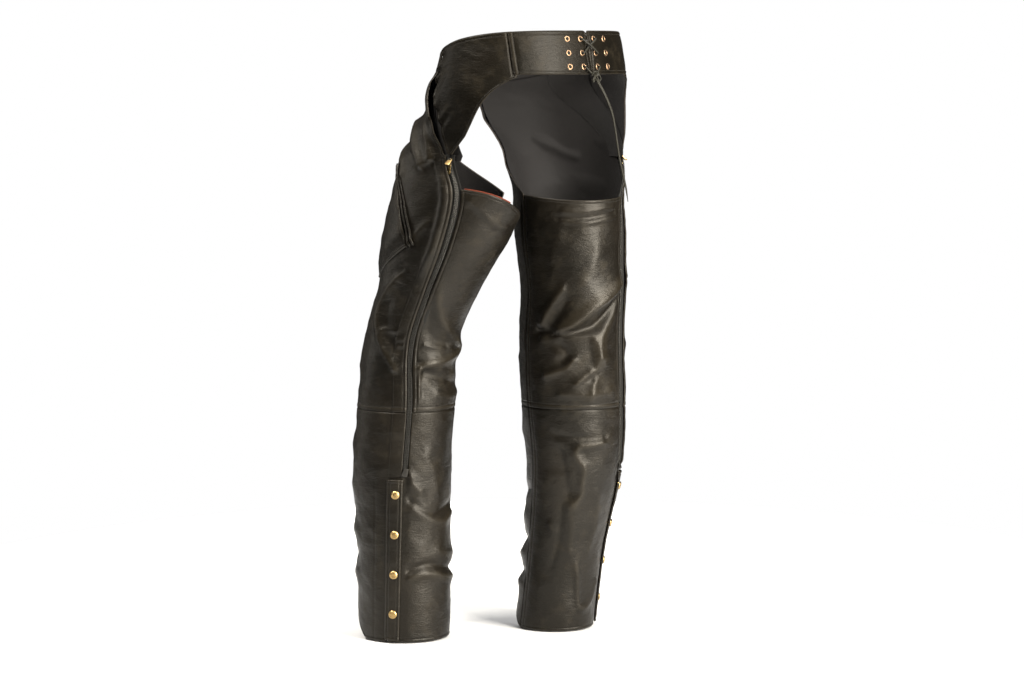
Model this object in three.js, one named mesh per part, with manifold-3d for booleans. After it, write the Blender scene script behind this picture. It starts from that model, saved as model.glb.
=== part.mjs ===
// Leather riding chaps in the shape they take when worn. A belt is laced at the back and
// buckled at the front. Two open-seated legs close with two-way side zips, and end in snap flaps.
// Millimetres, +Z up. The wearer faces -Y and the wearer's left is +X. The origin is the centre
// of the waist opening, level with the top edge of the belt at the middle of the back.
import * as THREE from 'three';
import { mergeVertices } from 'three/addons/utils/BufferGeometryUtils.js';
import Module from 'manifold-3d';

const wasm = await Module();
wasm.setup();

// ---------------------------------------------------------------- driving dimensions
const TOP_TO_HEM = 1075;      // back of the belt down to the hem
const LEATHER = 2.4;          // hide and lining together
const GAP = 0.3;              // between pieces that touch
const SEAM_TURN = 0.2;        // the same gap round the body, in degrees

const BACK_BELT_HEIGHT = 75;
const FRONT_BELT_HEIGHT = 32;
const FRONT_DROP = 60;        // the belt's top edge is this much lower at the front
const KNEE = 415;             // height of the knee seam above the hem
const ZIP_TOP = 861;          // height of the top of the side zip
const ZIP_END = 293;          // height of its lower end, where the snap flap starts
const BACK_TOP = 790;         // height of the back panel's top edge on the thigh's middle line
const INSTEP_RISE = 65;       // the hem arches up this much over the instep
const INSEAM = 173;           // angle of the inseam round the leg, from the outer side

const LACE_CENTRE = 88;       // angle of the lacing round the waist
const LACE_OPENING = 1.1;     // half the opening between the two back belts, in degrees
const EYELET_TURNS = [5.3, 14.5];
const EYELET_DROPS = [14.5, 38.5, 62];
const EYELET_HOLE = 3.5;
const LACE_RADIUS = 1.75;

const ZIP_HALF_GAP = 3.5;     // from the middle of the zip to a panel's edge, in degrees
const CHAIN_WIDTH = 7;
const FLAP_TURN = 19;         // width of the snap flap round the leg, in degrees
const UNDERLAP_TURN = 17;     // the back panel runs this far under the flap
const FLAP_OFF = 4.8;         // the flap's outer face stands this far off the leg
const SNAP_TURN = 10;         // from the zip's line to the snaps
const SNAP_FIRST = 51;
const SNAP_PITCH = 70.7;
const SNAP_COUNT = 4;
const CAP_SHANK_HOLE = 2.1;
const STUD_SHANK_HOLE = 2.1;

const BUCKLE_WIRE = 1.75;     // radius
const BUCKLE_HEIGHT = 44;
const HEEL_BAR_X = 24;
const FAR_BAR_X = -20;
const STRAP_TIP_X = 78;

// Each row of a leg: height above the hem, the section's centre out from the midline and back
// from the origin, its half width and half depth, and the zip's angle from the outer side.
const LEGS = {
  left: {
    side: 1,
    turn: 0,
    rows: [
      [0, 135, -182, 80, 82, 40],
      [150, 133, -184, 83, 85, 43],
      [300, 129, -191, 86, 88, 47.5],
      [420, 124, -185, 86, 88, 48],
      [530, 118, -177, 81, 85, 43],
      [620, 111, -141, 84, 95, 39],
      [707, 105, -104, 92, 120, 36],
      [795, 99, -70, 94, 135, 29],
      [860, 97, -45, 95, 140, 13],
      [1000, 90, 0, 100, 140, 13],
    ],
  },
  right: {
    side: -1,
    turn: 20,
    rows: [
      [0, 115, -46, 70, 71, 47],
      [150, 113, -22, 71, 72, 56],
      [300, 110, 5, 83, 85, 66],
      [420, 107, 4, 91, 93, 69],
      [530, 104, 3, 92, 94, 69],
      [620, 102, 8, 90, 94, 69],
      [707, 100, 2, 93, 100, 67],
      [795, 98, 0, 93, 104, 60],
      [860, 97, -6, 94, 124, 33],
      [1000, 90, 0, 100, 140, 33],
    ],
  },
};

// Each row of the hips: height above the hem, half width, and depth behind and before the origin.
const HIPS = [
  [850, 195, 158, 158],
  [950, 195, 162, 160],
  [1000, 190, 150, 140],
  [1040, 184, 142, 125],
  [1075, 179, 135, 118],
];
const HIP_BLEND = [850, 985]; // the legs' sections turn into the hips' between these heights

// ---------------------------------------------------------------- the shape of the wearer
const rad = THREE.MathUtils.degToRad;
const lerp = THREE.MathUtils.lerp;
const smooth = (t) => THREE.MathUtils.smoothstep(t, 0, 1);
const fromHem = (height) => height - TOP_TO_HEM;

// A smooth curve through the rows, as a function of height.
function rowAt(rows, height) {
  let i = 0;
  while (i < rows.length - 2 && height > rows[i + 1][0]) i += 1;
  const slope = (k, column) => {
    const low = rows[Math.max(k - 1, 0)];
    const high = rows[Math.min(k + 1, rows.length - 1)];
    return (high[column] - low[column]) / (high[0] - low[0]);
  };
  const run = rows[i + 1][0] - rows[i][0];
  const t = THREE.MathUtils.clamp((height - rows[i][0]) / run, 0, 1);
  const ease = t * t * (3 - 2 * t);
  return rows[i].map((value, column) => value + (rows[i + 1][column] - value) * ease
    + run * slope(i, column) * t * (1 - t) ** 2
    - run * slope(i + 1, column) * t ** 2 * (1 - t));
}

// The point at a height and angle on one side of the wearer, standing out from the skin.
// Angles run from the outer side: 90 is the back, -90 the front.
function skin(leg, height, angle, out) {
  const [, centreOut, centreBack, halfWidth, halfDepth] = rowAt(leg.rows, height);
  const [, hipWidth, hipBack, hipFront] = rowAt(HIPS, height);
  const hipDepth = angle < 0 ? hipFront : hipBack;
  const hip = smooth((height - HIP_BLEND[0]) / (HIP_BLEND[1] - HIP_BLEND[0]));
  const width = lerp(halfWidth, hipWidth, hip) + out;
  const depth = lerp(halfDepth, hipDepth, hip) + out;
  const x = lerp(centreOut, 0, hip) + width * Math.cos(rad(angle));
  const y = lerp(centreBack, 0, hip) + depth * Math.sin(rad(angle));
  return new THREE.Vector3(leg.side * x, y, fromHem(height));
}

// Axes on the skin: Y points out, Z up along it, X across.
function frameOn(leg, height, angle, out, along) {
  const step = 2;
  const origin = skin(leg, height, angle, out);
  const round = skin(leg, height, angle + step, out).sub(skin(leg, height, angle - step, out));
  const up = along ? along.clone() : skin(leg, height + step, angle, out).sub(origin);
  up.normalize();
  const normal = new THREE.Vector3().crossVectors(round, up).multiplyScalar(leg.side).normalize();
  up.crossVectors(new THREE.Vector3().crossVectors(normal, up), normal).normalize();
  const across = new THREE.Vector3().crossVectors(normal, up);
  return new THREE.Matrix4().makeBasis(across, normal, up).setPosition(origin);
}

const zipAngle = (leg, height) => rowAt(leg.rows, height)[5];
const zipPoint = (leg, height, out) => skin(leg, height, zipAngle(leg, height), out);

// Above the top of the zip the hip's edges are turned out with the leg, less and less.
const hipTurn = (leg, height) => leg.turn * (1 - smooth((height - ZIP_TOP) / (1000 - ZIP_TOP)));

// Height of the belt's top edge round the waist.
const beltTop = (angle) => TOP_TO_HEM - FRONT_DROP * ((1 - Math.sin(rad(angle))) / 2) ** 2;

// The hip yoke's two edges: the scoop under the belt at the back, the pocket's mouth in front.
const SCOOP_TOP = TOP_TO_HEM - BACK_BELT_HEIGHT - 4;
function yokeBack(leg, height) {
  if (height > SCOOP_TOP) return 42 - 3.6 * ((height - SCOOP_TOP) / BACK_BELT_HEIGHT);
  const t = Math.max(height - ZIP_TOP, 0) / (SCOOP_TOP - ZIP_TOP);
  return 14 + 4 * Math.min(4 * t, 1) + 24 * t ** 5 + hipTurn(leg, height);
}
const MOUTH_TOP = 990;
function yokeFront(leg, height) {
  const t = THREE.MathUtils.clamp((height - ZIP_TOP) / (MOUTH_TOP - ZIP_TOP), 0, 1);
  return -23 + 34 * (1 - t) ** 1.6 + hipTurn(leg, height);
}

// ---------------------------------------------------------------- making solids
function bare(geometry) {
  const copy = geometry.clone();
  copy.deleteAttribute('normal');
  copy.deleteAttribute('uv');
  return mergeVertices(copy, 1e-4);
}

function signedVolume(geometry) {
  const at = geometry.attributes.position;
  const corner = (k) => new THREE.Vector3().fromBufferAttribute(at, geometry.index.getX(k));
  let sum = 0;
  for (let k = 0; k < geometry.index.count; k += 3) {
    sum += corner(k).dot(corner(k + 1).cross(corner(k + 2)));
  }
  return sum / 6;
}

// The left side's pieces come out facing outwards, and the right side's are turned over.
function facingOut(geometry) {
  if (signedVolume(geometry) < 0) {
    const index = geometry.index;
    for (let k = 0; k < index.count; k += 3) {
      const second = index.getX(k + 1);
      index.setX(k + 1, index.getX(k + 2));
      index.setX(k + 2, second);
    }
  }
  return geometry;
}

function solid(geometry, matrix = new THREE.Matrix4()) {
  const closed = bare(geometry).applyMatrix4(matrix);
  const mesh = new wasm.Mesh({
    numProp: 3,
    vertProperties: new Float32Array(closed.attributes.position.array),
    triVerts: new Uint32Array(closed.index.array),
  });
  return new wasm.Manifold(mesh);
}

function fromSolid(whole) {
  const mesh = whole.getMesh();
  const geometry = new THREE.BufferGeometry();
  geometry.setAttribute('position', new THREE.BufferAttribute(mesh.vertProperties, 3));
  geometry.setIndex(new THREE.BufferAttribute(mesh.triVerts, 1));
  return geometry;
}

function withHoles(geometry, holes, radius) {
  const HOLE_DEPTH = 14;
  const HOLE_SIDES = 8;
  const drill = new THREE.CylinderGeometry(radius, radius, HOLE_DEPTH, HOLE_SIDES);
  let whole = solid(geometry);
  for (const frame of holes) whole = whole.subtract(solid(drill, frame));
  return fromSolid(whole);
}

// A sheet of leather, laid where place(across, up, out) says. across and up run from 0 to 1.
function sheet(columns, rows, place, thickness = LEATHER) {
  const geometry = new THREE.BoxGeometry(1, 1, 1, columns, rows, 1);
  const at = geometry.attributes.position;
  for (let k = 0; k < at.count; k += 1) {
    const point = place(at.getX(k) + 0.5, at.getY(k) + 0.5, (at.getZ(k) - 0.5) * thickness);
    at.setXYZ(k, point.x, point.y, point.z);
  }
  return facingOut(bare(geometry));
}

function turned(profile, sides) {
  return facingOut(bare(new THREE.LatheGeometry(profile.map(([r, y]) => new THREE.Vector2(r, y)), sides)));
}

function tube(points, radius, sides, steps) {
  const section = new THREE.Shape();
  for (let k = 0; k < sides; k += 1) {
    const angle = (2 * Math.PI * k) / sides;
    if (k === 0) section.moveTo(radius, 0);
    else section.lineTo(radius * Math.cos(angle), radius * Math.sin(angle));
  }
  section.closePath();
  const path = new THREE.CatmullRomCurve3(points, false, 'centripetal');
  return facingOut(bare(new THREE.ExtrudeGeometry(section, { steps, bevelEnabled: false, extrudePath: path })));
}

// ---------------------------------------------------------------- finishes
const FINISHES = {
  leather: { color: 0x2b2722, roughness: 0.5, metalness: 0 },
  lace: { color: 0x1c1b16, roughness: 0.65, metalness: 0 },
  brass: { color: 0xb08d4f, roughness: 0.3, metalness: 1 },
  zip: { color: 0x15140f, roughness: 0.55, metalness: 0.4 },
};

const chaps = new THREE.Group();

function add(name, finish, geometry, frame = new THREE.Matrix4()) {
  geometry.computeVertexNormals();
  const mesh = new THREE.Mesh(geometry, new THREE.MeshStandardMaterial(FINISHES[finish]));
  mesh.name = name;
  frame.decompose(mesh.position, mesh.quaternion, mesh.scale);
  chaps.add(mesh);
}

// ---------------------------------------------------------------- the belt
function eyeletFrames(leg) {
  const centre = leg.side > 0 ? LACE_CENTRE : 180 - LACE_CENTRE;
  return EYELET_TURNS.flatMap((turn) => EYELET_DROPS.map(
    (drop) => frameOn(leg, TOP_TO_HEM - drop, centre - turn, 0),
  ));
}

function backBelt(leg) {
  const centre = leg.side > 0 ? LACE_CENTRE : 180 - LACE_CENTRE;
  const belt = sheet(8, 2, (across, up, out) => {
    const low = SCOOP_TOP + 4;
    const seam = yokeBack(leg, lerp(low, TOP_TO_HEM, up)) + 2 * SEAM_TURN;
    const angle = lerp(seam, centre - LACE_OPENING, across);
    return skin(leg, lerp(low, beltTop(angle), up), angle, out);
  });
  return withHoles(belt, eyeletFrames(leg), EYELET_HOLE);
}

function eyelet() {
  const flange = 5.7;
  const bore = 2.7;
  return turned([
    [bore, 1.3], [bore, -3.9], [4.8, -3.9], [4.8, -3], [3.1, -3], [3.1, GAP], [flange, GAP],
    [bore, 1.3],
  ], 8);
}

function hipYoke(leg) {
  const nominalTop = 1050;
  return sheet(6, 9, (across, up, out) => {
    const topAngle = lerp(yokeFront(leg, nominalTop), yokeBack(leg, nominalTop), across);
    const height = lerp(ZIP_TOP + 3, nominalTop, up) + up ** 4 * (beltTop(topAngle) - nominalTop);
    const angle = lerp(yokeFront(leg, height), yokeBack(leg, height), across);
    return skin(leg, height, angle, out);
  });
}

const FRONT_BELT_START = -23 - SEAM_TURN;
const BELT_HALF_WIDTH = HIPS[2][1];
const beltAngleAt = (x) => -90 + THREE.MathUtils.radToDeg(Math.asin(x / BELT_HALF_WIDTH));
const strapHeight = (angle, up) => beltTop(angle) - FRONT_BELT_HEIGHT * (1 - up);

function frontBeltLeft(leg) {
  const end = beltAngleAt(HEEL_BAR_X + BUCKLE_WIRE + 2.5);
  return sheet(7, 1, (across, up, out) => {
    const angle = lerp(FRONT_BELT_START, end, across);
    return skin(leg, strapHeight(angle, up), angle, out);
  });
}

// The strap runs under the buckle's far bar, over its heel bar and on over the left belt.
function strapLift(x) {
  const overHeelBar = 5.2;
  const overLeftBelt = 3;
  const rise = smooth((x + 14) / 34);
  return rise * lerp(overHeelBar, overLeftBelt, smooth((x - 28) / 14));
}

function frontBeltRight(leg) {
  const tipAngle = -180 - beltAngleAt(STRAP_TIP_X);
  const strap = sheet(20, 2, (across, up, out) => {
    const angle = lerp(FRONT_BELT_START, tipAngle, across);
    const x = -BELT_HALF_WIDTH * Math.cos(rad(angle));
    const pointed = 0.5 + (up - 0.5) * (1 - 0.55 * smooth((across - 0.88) / 0.12));
    return skin(leg, strapHeight(angle, pointed), angle, out + strapLift(x));
  });
  const slot = new THREE.BoxGeometry(26.5, 30, 5.5).translate(-7.8, 0, 0);
  return fromSolid(solid(strap).subtract(solid(slot, buckleSpace())));
}

// ---------------------------------------------------------------- the buckle
// Its own axes: X towards the wearer's right, Y forwards, Z up along the belt.
const buckleSpace = () => frameOn(LEGS.left, strapHeight(-90, 0.5), -90, 0);
const HEEL_BAR = new THREE.Vector3(-HEEL_BAR_X, -2.4, 0);
const FAR_BAR = new THREE.Vector3(-FAR_BAR_X, 1.9, 0);
const SLANT = Math.atan2(FAR_BAR.y - HEEL_BAR.y, FAR_BAR.x - HEEL_BAR.x);

function shifted(point, z = 0) {
  return new THREE.Matrix4().makeTranslation(point.x, point.y, point.z + z);
}

function buckleFrame() {
  const half = BUCKLE_HEIGHT / 2;
  const bar = new THREE.CylinderGeometry(BUCKLE_WIRE, BUCKLE_WIRE, BUCKLE_HEIGHT, 8).rotateX(Math.PI / 2);
  const length = HEEL_BAR.distanceTo(FAR_BAR) + 2 * BUCKLE_WIRE;
  const rail = new THREE.BoxGeometry(length, 2 * BUCKLE_WIRE, 2 * BUCKLE_WIRE).rotateZ(SLANT);
  const middle = HEEL_BAR.clone().add(FAR_BAR).multiplyScalar(0.5);
  const pieces = [solid(bar, shifted(HEEL_BAR)), solid(bar, shifted(FAR_BAR)),
    solid(rail, shifted(middle, half)), solid(rail, shifted(middle, -half))];
  return fromSolid(pieces.reduce((whole, piece) => whole.add(piece)));
}

// The prong is a rolled eye round the heel bar, and a tongue that rests on the far bar.
function buckleProng() {
  const eyeInner = BUCKLE_WIRE + 0.35;
  const eyeOuter = 3.2;
  const halfWidth = 1.6;
  const eye = turned([
    [eyeInner, halfWidth], [eyeInner, -halfWidth], [eyeOuter, -halfWidth], [eyeOuter, halfWidth],
    [eyeInner, halfWidth],
  ], 12).rotateX(Math.PI / 2);
  const tip = FAR_BAR.clone().add(new THREE.Vector3(3, BUCKLE_WIRE + 2, 0));
  const reach = tip.clone().sub(HEEL_BAR);
  const start = HEEL_BAR.clone().addScaledVector(reach.clone().normalize(), eyeInner + 0.4);
  const tongue = new THREE.BoxGeometry(start.distanceTo(tip), 2.4, 2 * halfWidth)
    .rotateZ(Math.atan2(reach.y, reach.x));
  const middle = start.add(tip).multiplyScalar(0.5);
  return fromSolid(solid(eye, shifted(HEEL_BAR)).add(solid(tongue, shifted(middle))));
}

// ---------------------------------------------------------------- the legs
// A panel's outer edge follows the zip. Below the zip's end it steps forward under the flap.
function stepped(height, shift, across) {
  const blend = smooth((ZIP_END + 3 - height) / 6);
  return shift * blend * Math.max(1 - across / 0.3, 0);
}

function innerFront(leg, height) {
  const inseam = INSEAM - 360 + leg.turn;
  const t = THREE.MathUtils.clamp((height - BACK_TOP) / (1015 - BACK_TOP), 0, 1);
  return lerp(inseam, -79, 1 - (1 - t) ** 2.2) - (1 - SEAM_TURN);
}

function frontUpper(leg) {
  const outer = (height) => {
    const zip = zipAngle(leg, height) - ZIP_HALF_GAP;
    return height < ZIP_TOP ? zip : yokeFront(leg, height) - 3;
  };
  const low = KNEE + GAP / 2;
  const nominalTop = 984;
  const angleAt = (height, across) => lerp(outer(height), innerFront(leg, height) + 1, across);
  return sheet(12, 18, (across, up, out) => {
    const top = beltTop(angleAt(nominalTop, across)) - FRONT_BELT_HEIGHT - 1.2;
    const height = lerp(low, nominalTop, up) + up ** 4 * (top - nominalTop);
    return skin(leg, height, angleAt(height, across), out);
  });
}

function hemHeight(leg, angle) {
  return INSTEP_RISE * Math.max(Math.cos(rad(angle + 90 - leg.turn)), 0) ** 1.5;
}

// The lower panels have a row of facets just above and just below the step.
function lowerHeight(hem, up) {
  if (up <= 0.6) return lerp(hem, ZIP_END - 3, up / 0.6);
  if (up <= 0.7) return lerp(ZIP_END - 3, ZIP_END + 3, (up - 0.6) * 10);
  return lerp(ZIP_END + 3, KNEE - GAP / 2, (up - 0.7) / 0.3);
}

function frontLower(leg) {
  return sheet(11, 10, (across, up, out) => {
    const inner = INSEAM - 360 + leg.turn + SEAM_TURN;
    const flat = lerp(zipAngle(leg, KNEE) - ZIP_HALF_GAP, inner, across);
    const rise = lowerHeight(hemHeight(leg, flat), up);
    const outer = zipAngle(leg, rise) - ZIP_HALF_GAP;
    const angle = lerp(outer, inner, across) + stepped(rise, ZIP_HALF_GAP - FLAP_TURN, across);
    return skin(leg, rise, angle, out);
  });
}

// The back panel's top edge is cut square to the thigh, so it rises towards the outer side.
function backTop(leg, across) {
  const rise = leg.side > 0 ? [798, 748] : [784, 788];
  return lerp(rise[0], rise[1], smooth(across)) - 6 * Math.sin(Math.PI * across);
}

function backUpper(leg) {
  return sheet(9, 10, (across, up, out) => {
    const rise = lerp(KNEE + GAP / 2, backTop(leg, across), up);
    const angle = lerp(zipAngle(leg, rise) + ZIP_HALF_GAP, INSEAM + leg.turn - SEAM_TURN, across);
    return skin(leg, rise, angle, out);
  });
}

function snapFrames(leg, out) {
  return Array.from({ length: SNAP_COUNT }, (_, k) => {
    const height = SNAP_FIRST + k * SNAP_PITCH;
    const stand = new THREE.Matrix4().makeTranslation(0, out, 0);
    return frameOn(leg, height, zipAngle(leg, height) - SNAP_TURN, 0).multiply(stand);
  });
}

function backLower(leg) {
  const panel = sheet(10, 10, (across, up, out) => {
    const rise = lowerHeight(0, up);
    const column = across ** 1.5;
    const angle = lerp(zipAngle(leg, rise) + ZIP_HALF_GAP, INSEAM + leg.turn - SEAM_TURN, column);
    return skin(leg, rise, angle + stepped(rise, -UNDERLAP_TURN - ZIP_HALF_GAP, column), out);
  });
  return withHoles(panel, snapFrames(leg, 0), STUD_SHANK_HOLE);
}

function flapPlace(leg, across, up, out) {
  const rise = lerp(4, ZIP_END - 3, up);
  const angle = zipAngle(leg, rise) - 2 - FLAP_TURN * (1 - across);
  const lift = lerp(LEATHER + 1.2, FLAP_OFF, smooth(across / 0.35));
  return skin(leg, rise, angle, out + lift);
}

function snapFlap(leg) {
  const flap = sheet(4, 8, (across, up, out) => flapPlace(leg, across, up, out));
  return withHoles(flap, snapFrames(leg, FLAP_OFF), CAP_SHANK_HOLE);
}

function snapCap() {
  return turned([
    [0, 3.8], [4.6, 3.2], [7.6, 0.9], [1.5, 0.9], [1.5, -3.1], [5.4, -3.1], [5.4, -4.2], [2.7, -4.2],
    [2.7, -3.5], [0, -3.5],
  ], 10);
}

function snapStud() {
  return turned([
    [0, 1.1], [2, 1.1], [2, GAP], [1.5, GAP], [1.5, -3.4], [4.8, -3.4], [4.8, -4.2], [0, -4.2],
  ], 8);
}

// ---------------------------------------------------------------- the side zips
function zipChain(leg) {
  return sheet(1, 30, (across, up, out) => {
    const height = lerp(ZIP_END + 5, ZIP_TOP - 1, up);
    const [, , , halfWidth] = rowAt(leg.rows, height);
    const turn = THREE.MathUtils.radToDeg(CHAIN_WIDTH / halfWidth);
    return skin(leg, height, zipAngle(leg, height) + (across - 0.5) * turn, out - 0.3);
  });
}

// Sliders stand on the chain: where each is parked, and the stretch of chain it runs along.
const SLIDERS = {
  top: { height: 852, towards: 814, standOff: 1.8, pullLength: 20, pull: 'brass' },
  bottom: { height: 303, towards: 423, standOff: 2.8, pullLength: 34, pull: 'leather' },
};
const SLIDER_BASE = 2.6;      // thickness of the slider's body
const PULL_AXIS = 0.9;        // height of the pull's pivot above that body

function sliderFrame(leg, slider) {
  const run = zipPoint(leg, slider.height, 0).sub(zipPoint(leg, slider.towards, 0));
  const up = run.z > 0 ? run : run.negate();
  return frameOn(leg, slider.height, zipAngle(leg, slider.height), slider.standOff, up);
}

// A plate with a bridge over it that holds the pull.
function zipSlider() {
  const plate = new THREE.BoxGeometry(10, SLIDER_BASE, 14, 1, 1, 1);
  const bridge = new THREE.Shape([[-4.5, -1], [4.5, -1], [4.5, 2.6], [3.6, 3.4], [-3.6, 3.4], [-4.5, 2.6]]
    .map(([z, y]) => new THREE.Vector2(z, y)));
  const window = [[-3.1, 0], [-3.1, 1.9], [3.1, 1.9], [3.1, 0]].map(([z, y]) => new THREE.Vector2(z, y));
  bridge.holes.push(new THREE.Path(window));
  const arch = new THREE.ExtrudeGeometry(bridge, { depth: 2.2, bevelEnabled: false });
  const stand = new THREE.Matrix4().makeBasis(
    new THREE.Vector3(0, 0, 1), new THREE.Vector3(0, 1, 0), new THREE.Vector3(-1, 0, 0),
  ).setPosition(1.1, SLIDER_BASE, 0);
  const base = new THREE.Matrix4().makeTranslation(0, SLIDER_BASE / 2, 0);
  return fromSolid(solid(plate, base).add(solid(arch, stand)));
}

// A plate whose top bar lies under the slider's bridge. Its pivot is its origin.
function zipPull(length, halfWidth) {
  const thickness = 1.2;
  const outline = [[-3, -0.6], [3, -0.6], [3, 9], [halfWidth, 11], [halfWidth, length - 2],
    [halfWidth - 2, length], [2 - halfWidth, length], [-halfWidth, length - 2], [-halfWidth, 11], [-3, 9]];
  const plate = new THREE.Shape(outline.map(([x, down]) => new THREE.Vector2(x, down)));
  const eye = [[-1.6, 0.6], [1.6, 0.6], [1.6, 7.4], [-1.6, 7.4]];
  plate.holes.push(new THREE.Path(eye.map(([x, down]) => new THREE.Vector2(x, down))));
  const geometry = new THREE.ExtrudeGeometry(plate, { depth: thickness, bevelEnabled: false });
  return facingOut(bare(geometry.translate(0, 0, -thickness / 2).rotateX(-Math.PI / 2)));
}

// The pull hangs straight down as far as its pivot lets it, and otherwise lies along the chain.
function pullFrame(slider) {
  const across = new THREE.Vector3().setFromMatrixColumn(slider, 0);
  const normal = new THREE.Vector3().setFromMatrixColumn(slider, 1);
  const up = new THREE.Vector3().setFromMatrixColumn(slider, 2);
  const hang = new THREE.Vector3(0, 0, 1);
  hang.addScaledVector(across, -hang.dot(across)).normalize();
  if (hang.dot(normal) < 0) up.copy(hang);
  normal.crossVectors(up, across);
  const pivot = new THREE.Vector3(0, SLIDER_BASE + PULL_AXIS, -0.8).applyMatrix4(slider);
  return new THREE.Matrix4().makeBasis(across, normal, up).setPosition(pivot);
}

// ---------------------------------------------------------------- the thigh pocket
// A patch on the left thigh, slanted: its mouth runs down and back, its foot is rounded.
function thighPocket(leg) {
  const mouth = [[-48, 838], [0, 704]];
  const foot = [[-100, 770], [-46, 640]];
  return sheet(8, 7, (across, down, out) => {
    const along = (edge, k) => lerp(edge[0][k], edge[1][k], across);
    const belly = Math.sin(Math.PI * across);
    const angle = lerp(along(mouth, 0), along(foot, 0) - 6 * belly, down);
    const height = lerp(along(mouth, 1), along(foot, 1) - 26 * belly, down);
    return skin(leg, height, angle, out + LEATHER + 1.3);
  });
}

// ---------------------------------------------------------------- the lace
const lacePoint = (turn, drop, out) => skin(LEGS.left, TOP_TO_HEM - drop, LACE_CENTRE + turn, out);
const KNOT_DROP = 75;
const KNOT_RADIUS = 5;

// Up one side, across and back through the top pair, and down the other side to the knot.
function laceRoute() {
  const inner = EYELET_TURNS[0];
  const [top, middle, low] = EYELET_DROPS;
  const through = (turn, drop, inwards) => {
    const path = [5.5, 1.6, -3, -6].map((out) => lacePoint(turn, drop, out));
    return inwards ? path : path.reverse();
  };
  return [
    lacePoint(-0.8, KNOT_DROP, 7),
    lacePoint(-inner * 0.6, low + 7, 6),
    ...through(-inner, low, true),
    ...through(-inner, middle, false),
    lacePoint(0, (top + middle) / 2, 4),
    ...through(inner, top, true),
    ...through(-inner, top, false),
    lacePoint(0, (top + middle) / 2, 8.6),
    ...through(inner, middle, true),
    ...through(inner, low, false),
    lacePoint(inner * 0.6, low + 7, 6),
    lacePoint(0.8, KNOT_DROP, 7),
  ];
}

function lace() {
  const cord = tube(laceRoute(), LACE_RADIUS, 8, 80);
  const centre = lacePoint(0, KNOT_DROP, 7);
  const knot = new THREE.SphereGeometry(KNOT_RADIUS, 10, 6);
  const at = new THREE.Matrix4().makeTranslation(centre.x, centre.y, centre.z);
  return fromSolid(solid(cord).add(solid(knot, at)));
}

// The free ends lie down the back of the wearer's right thigh. Points: X, Y and height.
const LACE_TAILS = {
  lace_tail_long: [
    [4.5, 159, 993], [1, 164, 982], [-4, 169.5, 968], [-11, 174, 950], [-18, 176.5, 930],
    [-23, 177.5, 905], [-28, 178, 880], [-34, 178.5, 855], [-41, 179, 832], [-49, 179, 808],
    [-56, 178.5, 780],
  ],
  lace_tail_short: [
    [8.5, 159.5, 993], [6, 166, 982], [1.5, 172.5, 968], [-5, 178, 950], [-12, 181, 930],
    [-17.5, 182.5, 905], [-22.5, 183, 880], [-28, 183.5, 855], [-35, 184, 832], [-42, 184, 806],
  ],
};

function laceTail(name) {
  const points = LACE_TAILS[name].map(([x, y, height]) => new THREE.Vector3(x, y, fromHem(height)));
  return tube(points, LACE_RADIUS, 8, 24);
}

// ---------------------------------------------------------------- assembly
for (const [sideName, leg] of Object.entries(LEGS)) {
  add(`back_belt_${sideName}`, 'leather', backBelt(leg));
  eyeletFrames(leg).forEach((frame, k) => add(`eyelet_${sideName}_${k + 1}`, 'brass', eyelet(), frame));
  add(`hip_yoke_${sideName}`, 'leather', hipYoke(leg));
  add(`front_upper_${sideName}`, 'leather', frontUpper(leg));
  add(`back_upper_${sideName}`, 'leather', backUpper(leg));
  add(`front_lower_${sideName}`, 'leather', frontLower(leg));
  add(`back_lower_${sideName}`, 'leather', backLower(leg));
  add(`snap_flap_${sideName}`, 'leather', snapFlap(leg));
  snapFrames(leg, FLAP_OFF).forEach((frame, k) => {
    add(`snap_cap_${sideName}_${k + 1}`, 'brass', snapCap(), frame);
  });
  snapFrames(leg, 0).forEach((frame, k) => {
    add(`snap_stud_${sideName}_${k + 1}`, 'brass', snapStud(), frame);
  });
  add(`zip_chain_${sideName}`, 'zip', zipChain(leg));
  for (const [end, slider] of Object.entries(SLIDERS)) {
    const frame = sliderFrame(leg, slider);
    add(`zip_${end}_slider_${sideName}`, 'brass', zipSlider(), frame);
    add(`zip_${end}_pull_${sideName}`, slider.pull, zipPull(slider.pullLength, 3.2), pullFrame(frame));
  }
}
add('front_belt_left', 'leather', frontBeltLeft(LEGS.left));
add('front_belt_right', 'leather', frontBeltRight(LEGS.right));
add('buckle_frame', 'brass', buckleFrame(), buckleSpace());
add('buckle_prong', 'brass', buckleProng(), buckleSpace());
add('thigh_pocket', 'leather', thighPocket(LEGS.left));
add('lace', 'lace', lace());
for (const name of Object.keys(LACE_TAILS)) add(name, 'lace', laceTail(name));

export default chaps;
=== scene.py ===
# %% [markdown]
# # Leather riding chaps
# Two leather legs hang from a belt that is laced behind and buckled in front. They cover the
# front, the outside and the back of each leg and leave the seat open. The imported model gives
# every solid its place. This script puts the visible leather, thread, teeth and metal there.

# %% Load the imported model
import math
import bmesh
import bpy
import numpy as np
from mathutils import Matrix, Vector


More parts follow.
